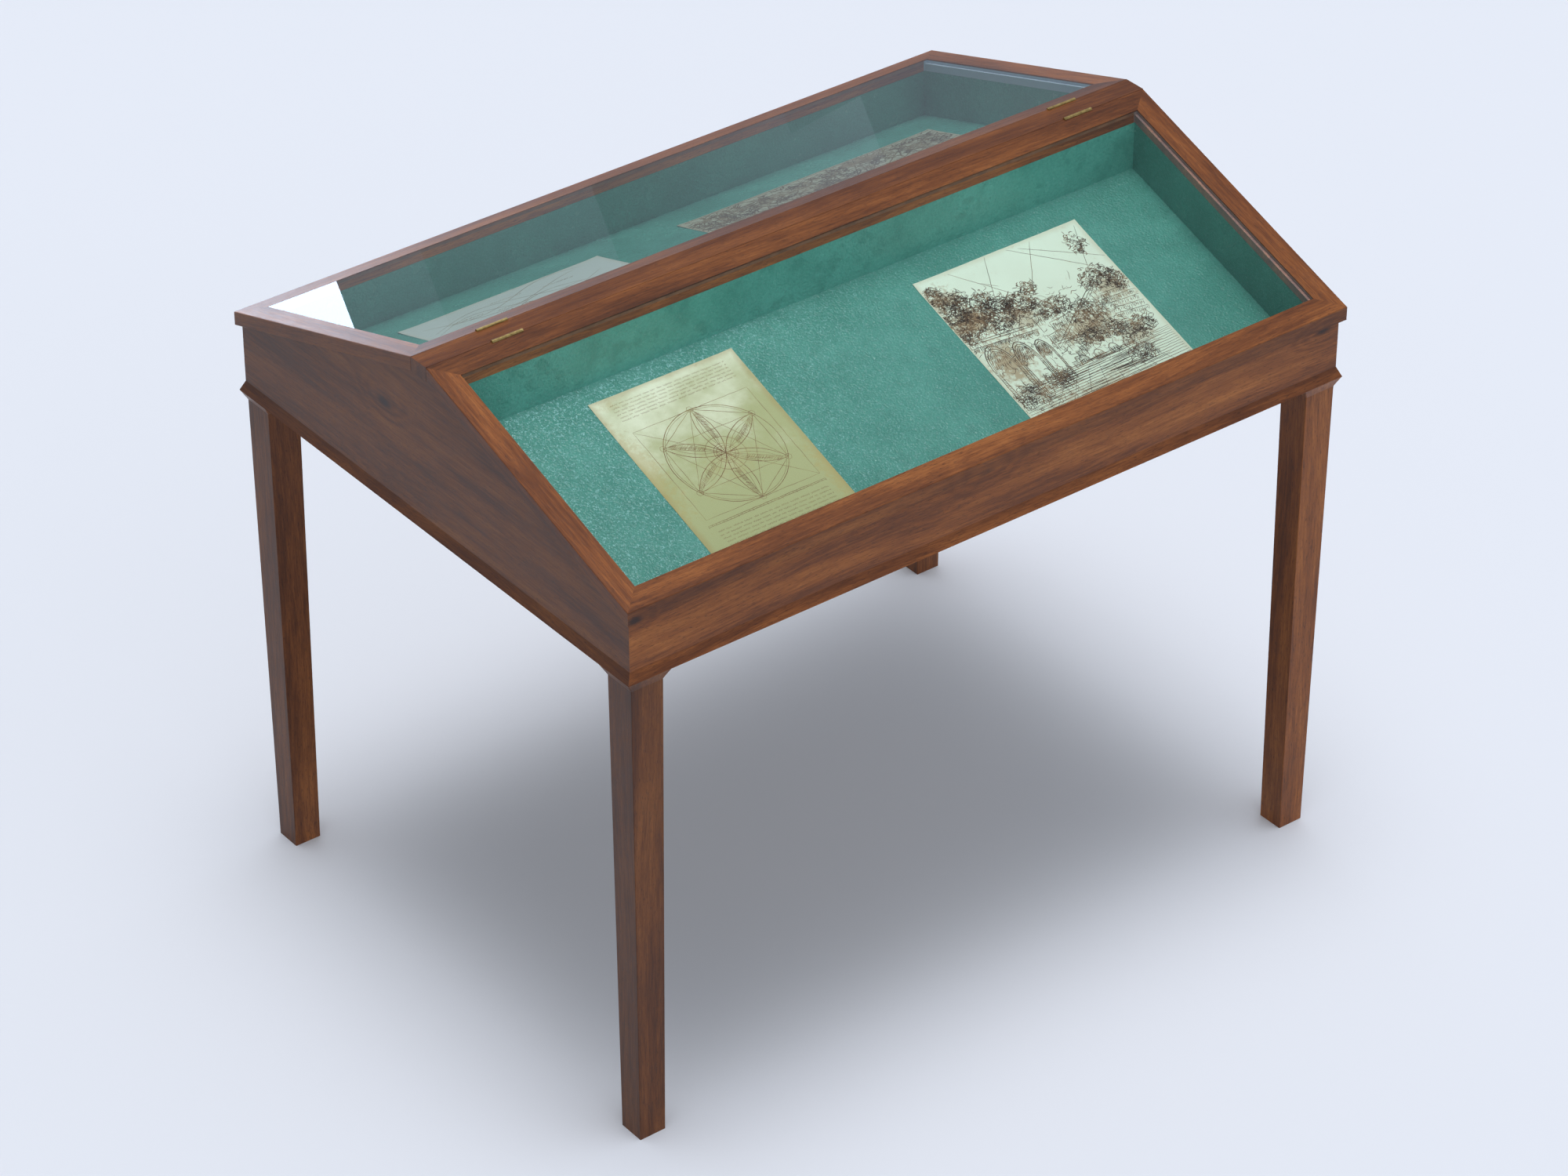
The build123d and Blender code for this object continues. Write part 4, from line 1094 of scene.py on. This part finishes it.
def draw_hall(pen):
    """A perspective grid with two rows of square pillars and loose groups of strokes."""
    w, h = pen.size
    eye = (0.54, 0.34)

    def towards_eye(u, v, share):
        return ((u + (eye[0] - u) * share) * w, (v + (eye[1] - v) * share) * h)

    for k in range(17):
        foot = -0.35 + 0.111 * k
        pen.line(towards_eye(foot, 0.985, 0.0), towards_eye(foot, 0.985, 0.80), 1.8)
        pen.line(towards_eye(foot, 0.02, 0.0), towards_eye(foot, 0.02, 0.62), 1.2)
    for k in range(15):
        share = 0.85 * (1 - (1 - k / 14) ** 2.1)
        left, right = towards_eye(-0.3, 0.985, share), towards_eye(1.3, 0.985, share)
        pen.line((max(left[0], 3 * MM), left[1]), (min(right[0], w - 3 * MM), right[1]), 1.8)
    for side in (0.06, 0.94):
        for k in range(6):
            share = 0.13 * k
            for edge in (-0.020, 0.020):
                head = towards_eye(side + edge, 0.06, share)
                foot = towards_eye(side + edge, 0.93, share)
                pen.line(head, foot, 2.0)
            head = towards_eye(side - 0.02, 0.08, share)
            foot = towards_eye(side - 0.02, 0.92, share)
            pen.hatch(head, foot, (0.036 * w * (1 - share), 1.5 * MM), 50, 1.4)
    for u, v in CLUSTERS:
        pen.foliage((u * w, v * h), (0.070 * w, 0.10 * h), 90, 5.0 * MM, 1.5)
        pen.tangle((u * w, v * h), (0.090 * w, 0.12 * h), 120, 16 * MM, 1.4)
    for k in range(7):
        pen.tangle(((0.08 + 0.14 * k) * w, 0.84 * h), (0.10 * w, 0.13 * h), 90, 24 * MM, 1.8)
    pen.finish((0.075, 0.054, 0.030), (0.26, 0.215, 0.13))


def add_sheets():
    """The four display sheets with their drawings."""
    sheets = [Sheet(f"{place}_sheet", seed) for seed, place in enumerate(PAPERS, start=1)]
    for sheet, (paper, *tones) in zip(sheets, PAPERS.values()):
        add_paper(sheet, parchment(f"parchment_{paper}", sheet, *tones))
    drawings = (draw_rosette, draw_garden, draw_hills, draw_hall)
    for seed, (sheet, drawing) in enumerate(zip(sheets, drawings), start=FIRST_PEN_SEED):
        drawing(Pen(sheet, seed))


# ---------------------------------------------------------------- build
add_floor()
add_camera()
add_sky()
add_panels()
clear_glass = pane_glass("clear_glass")
dress_frame(clear_glass)
for lid_side in ("front", "rear"):
    add_pane(lid_side, clear_glass)
    add_seal(lid_side, seal_finish(lid_side))
add_sheets()

bpy.context.scene.view_settings.view_transform = "Standard"
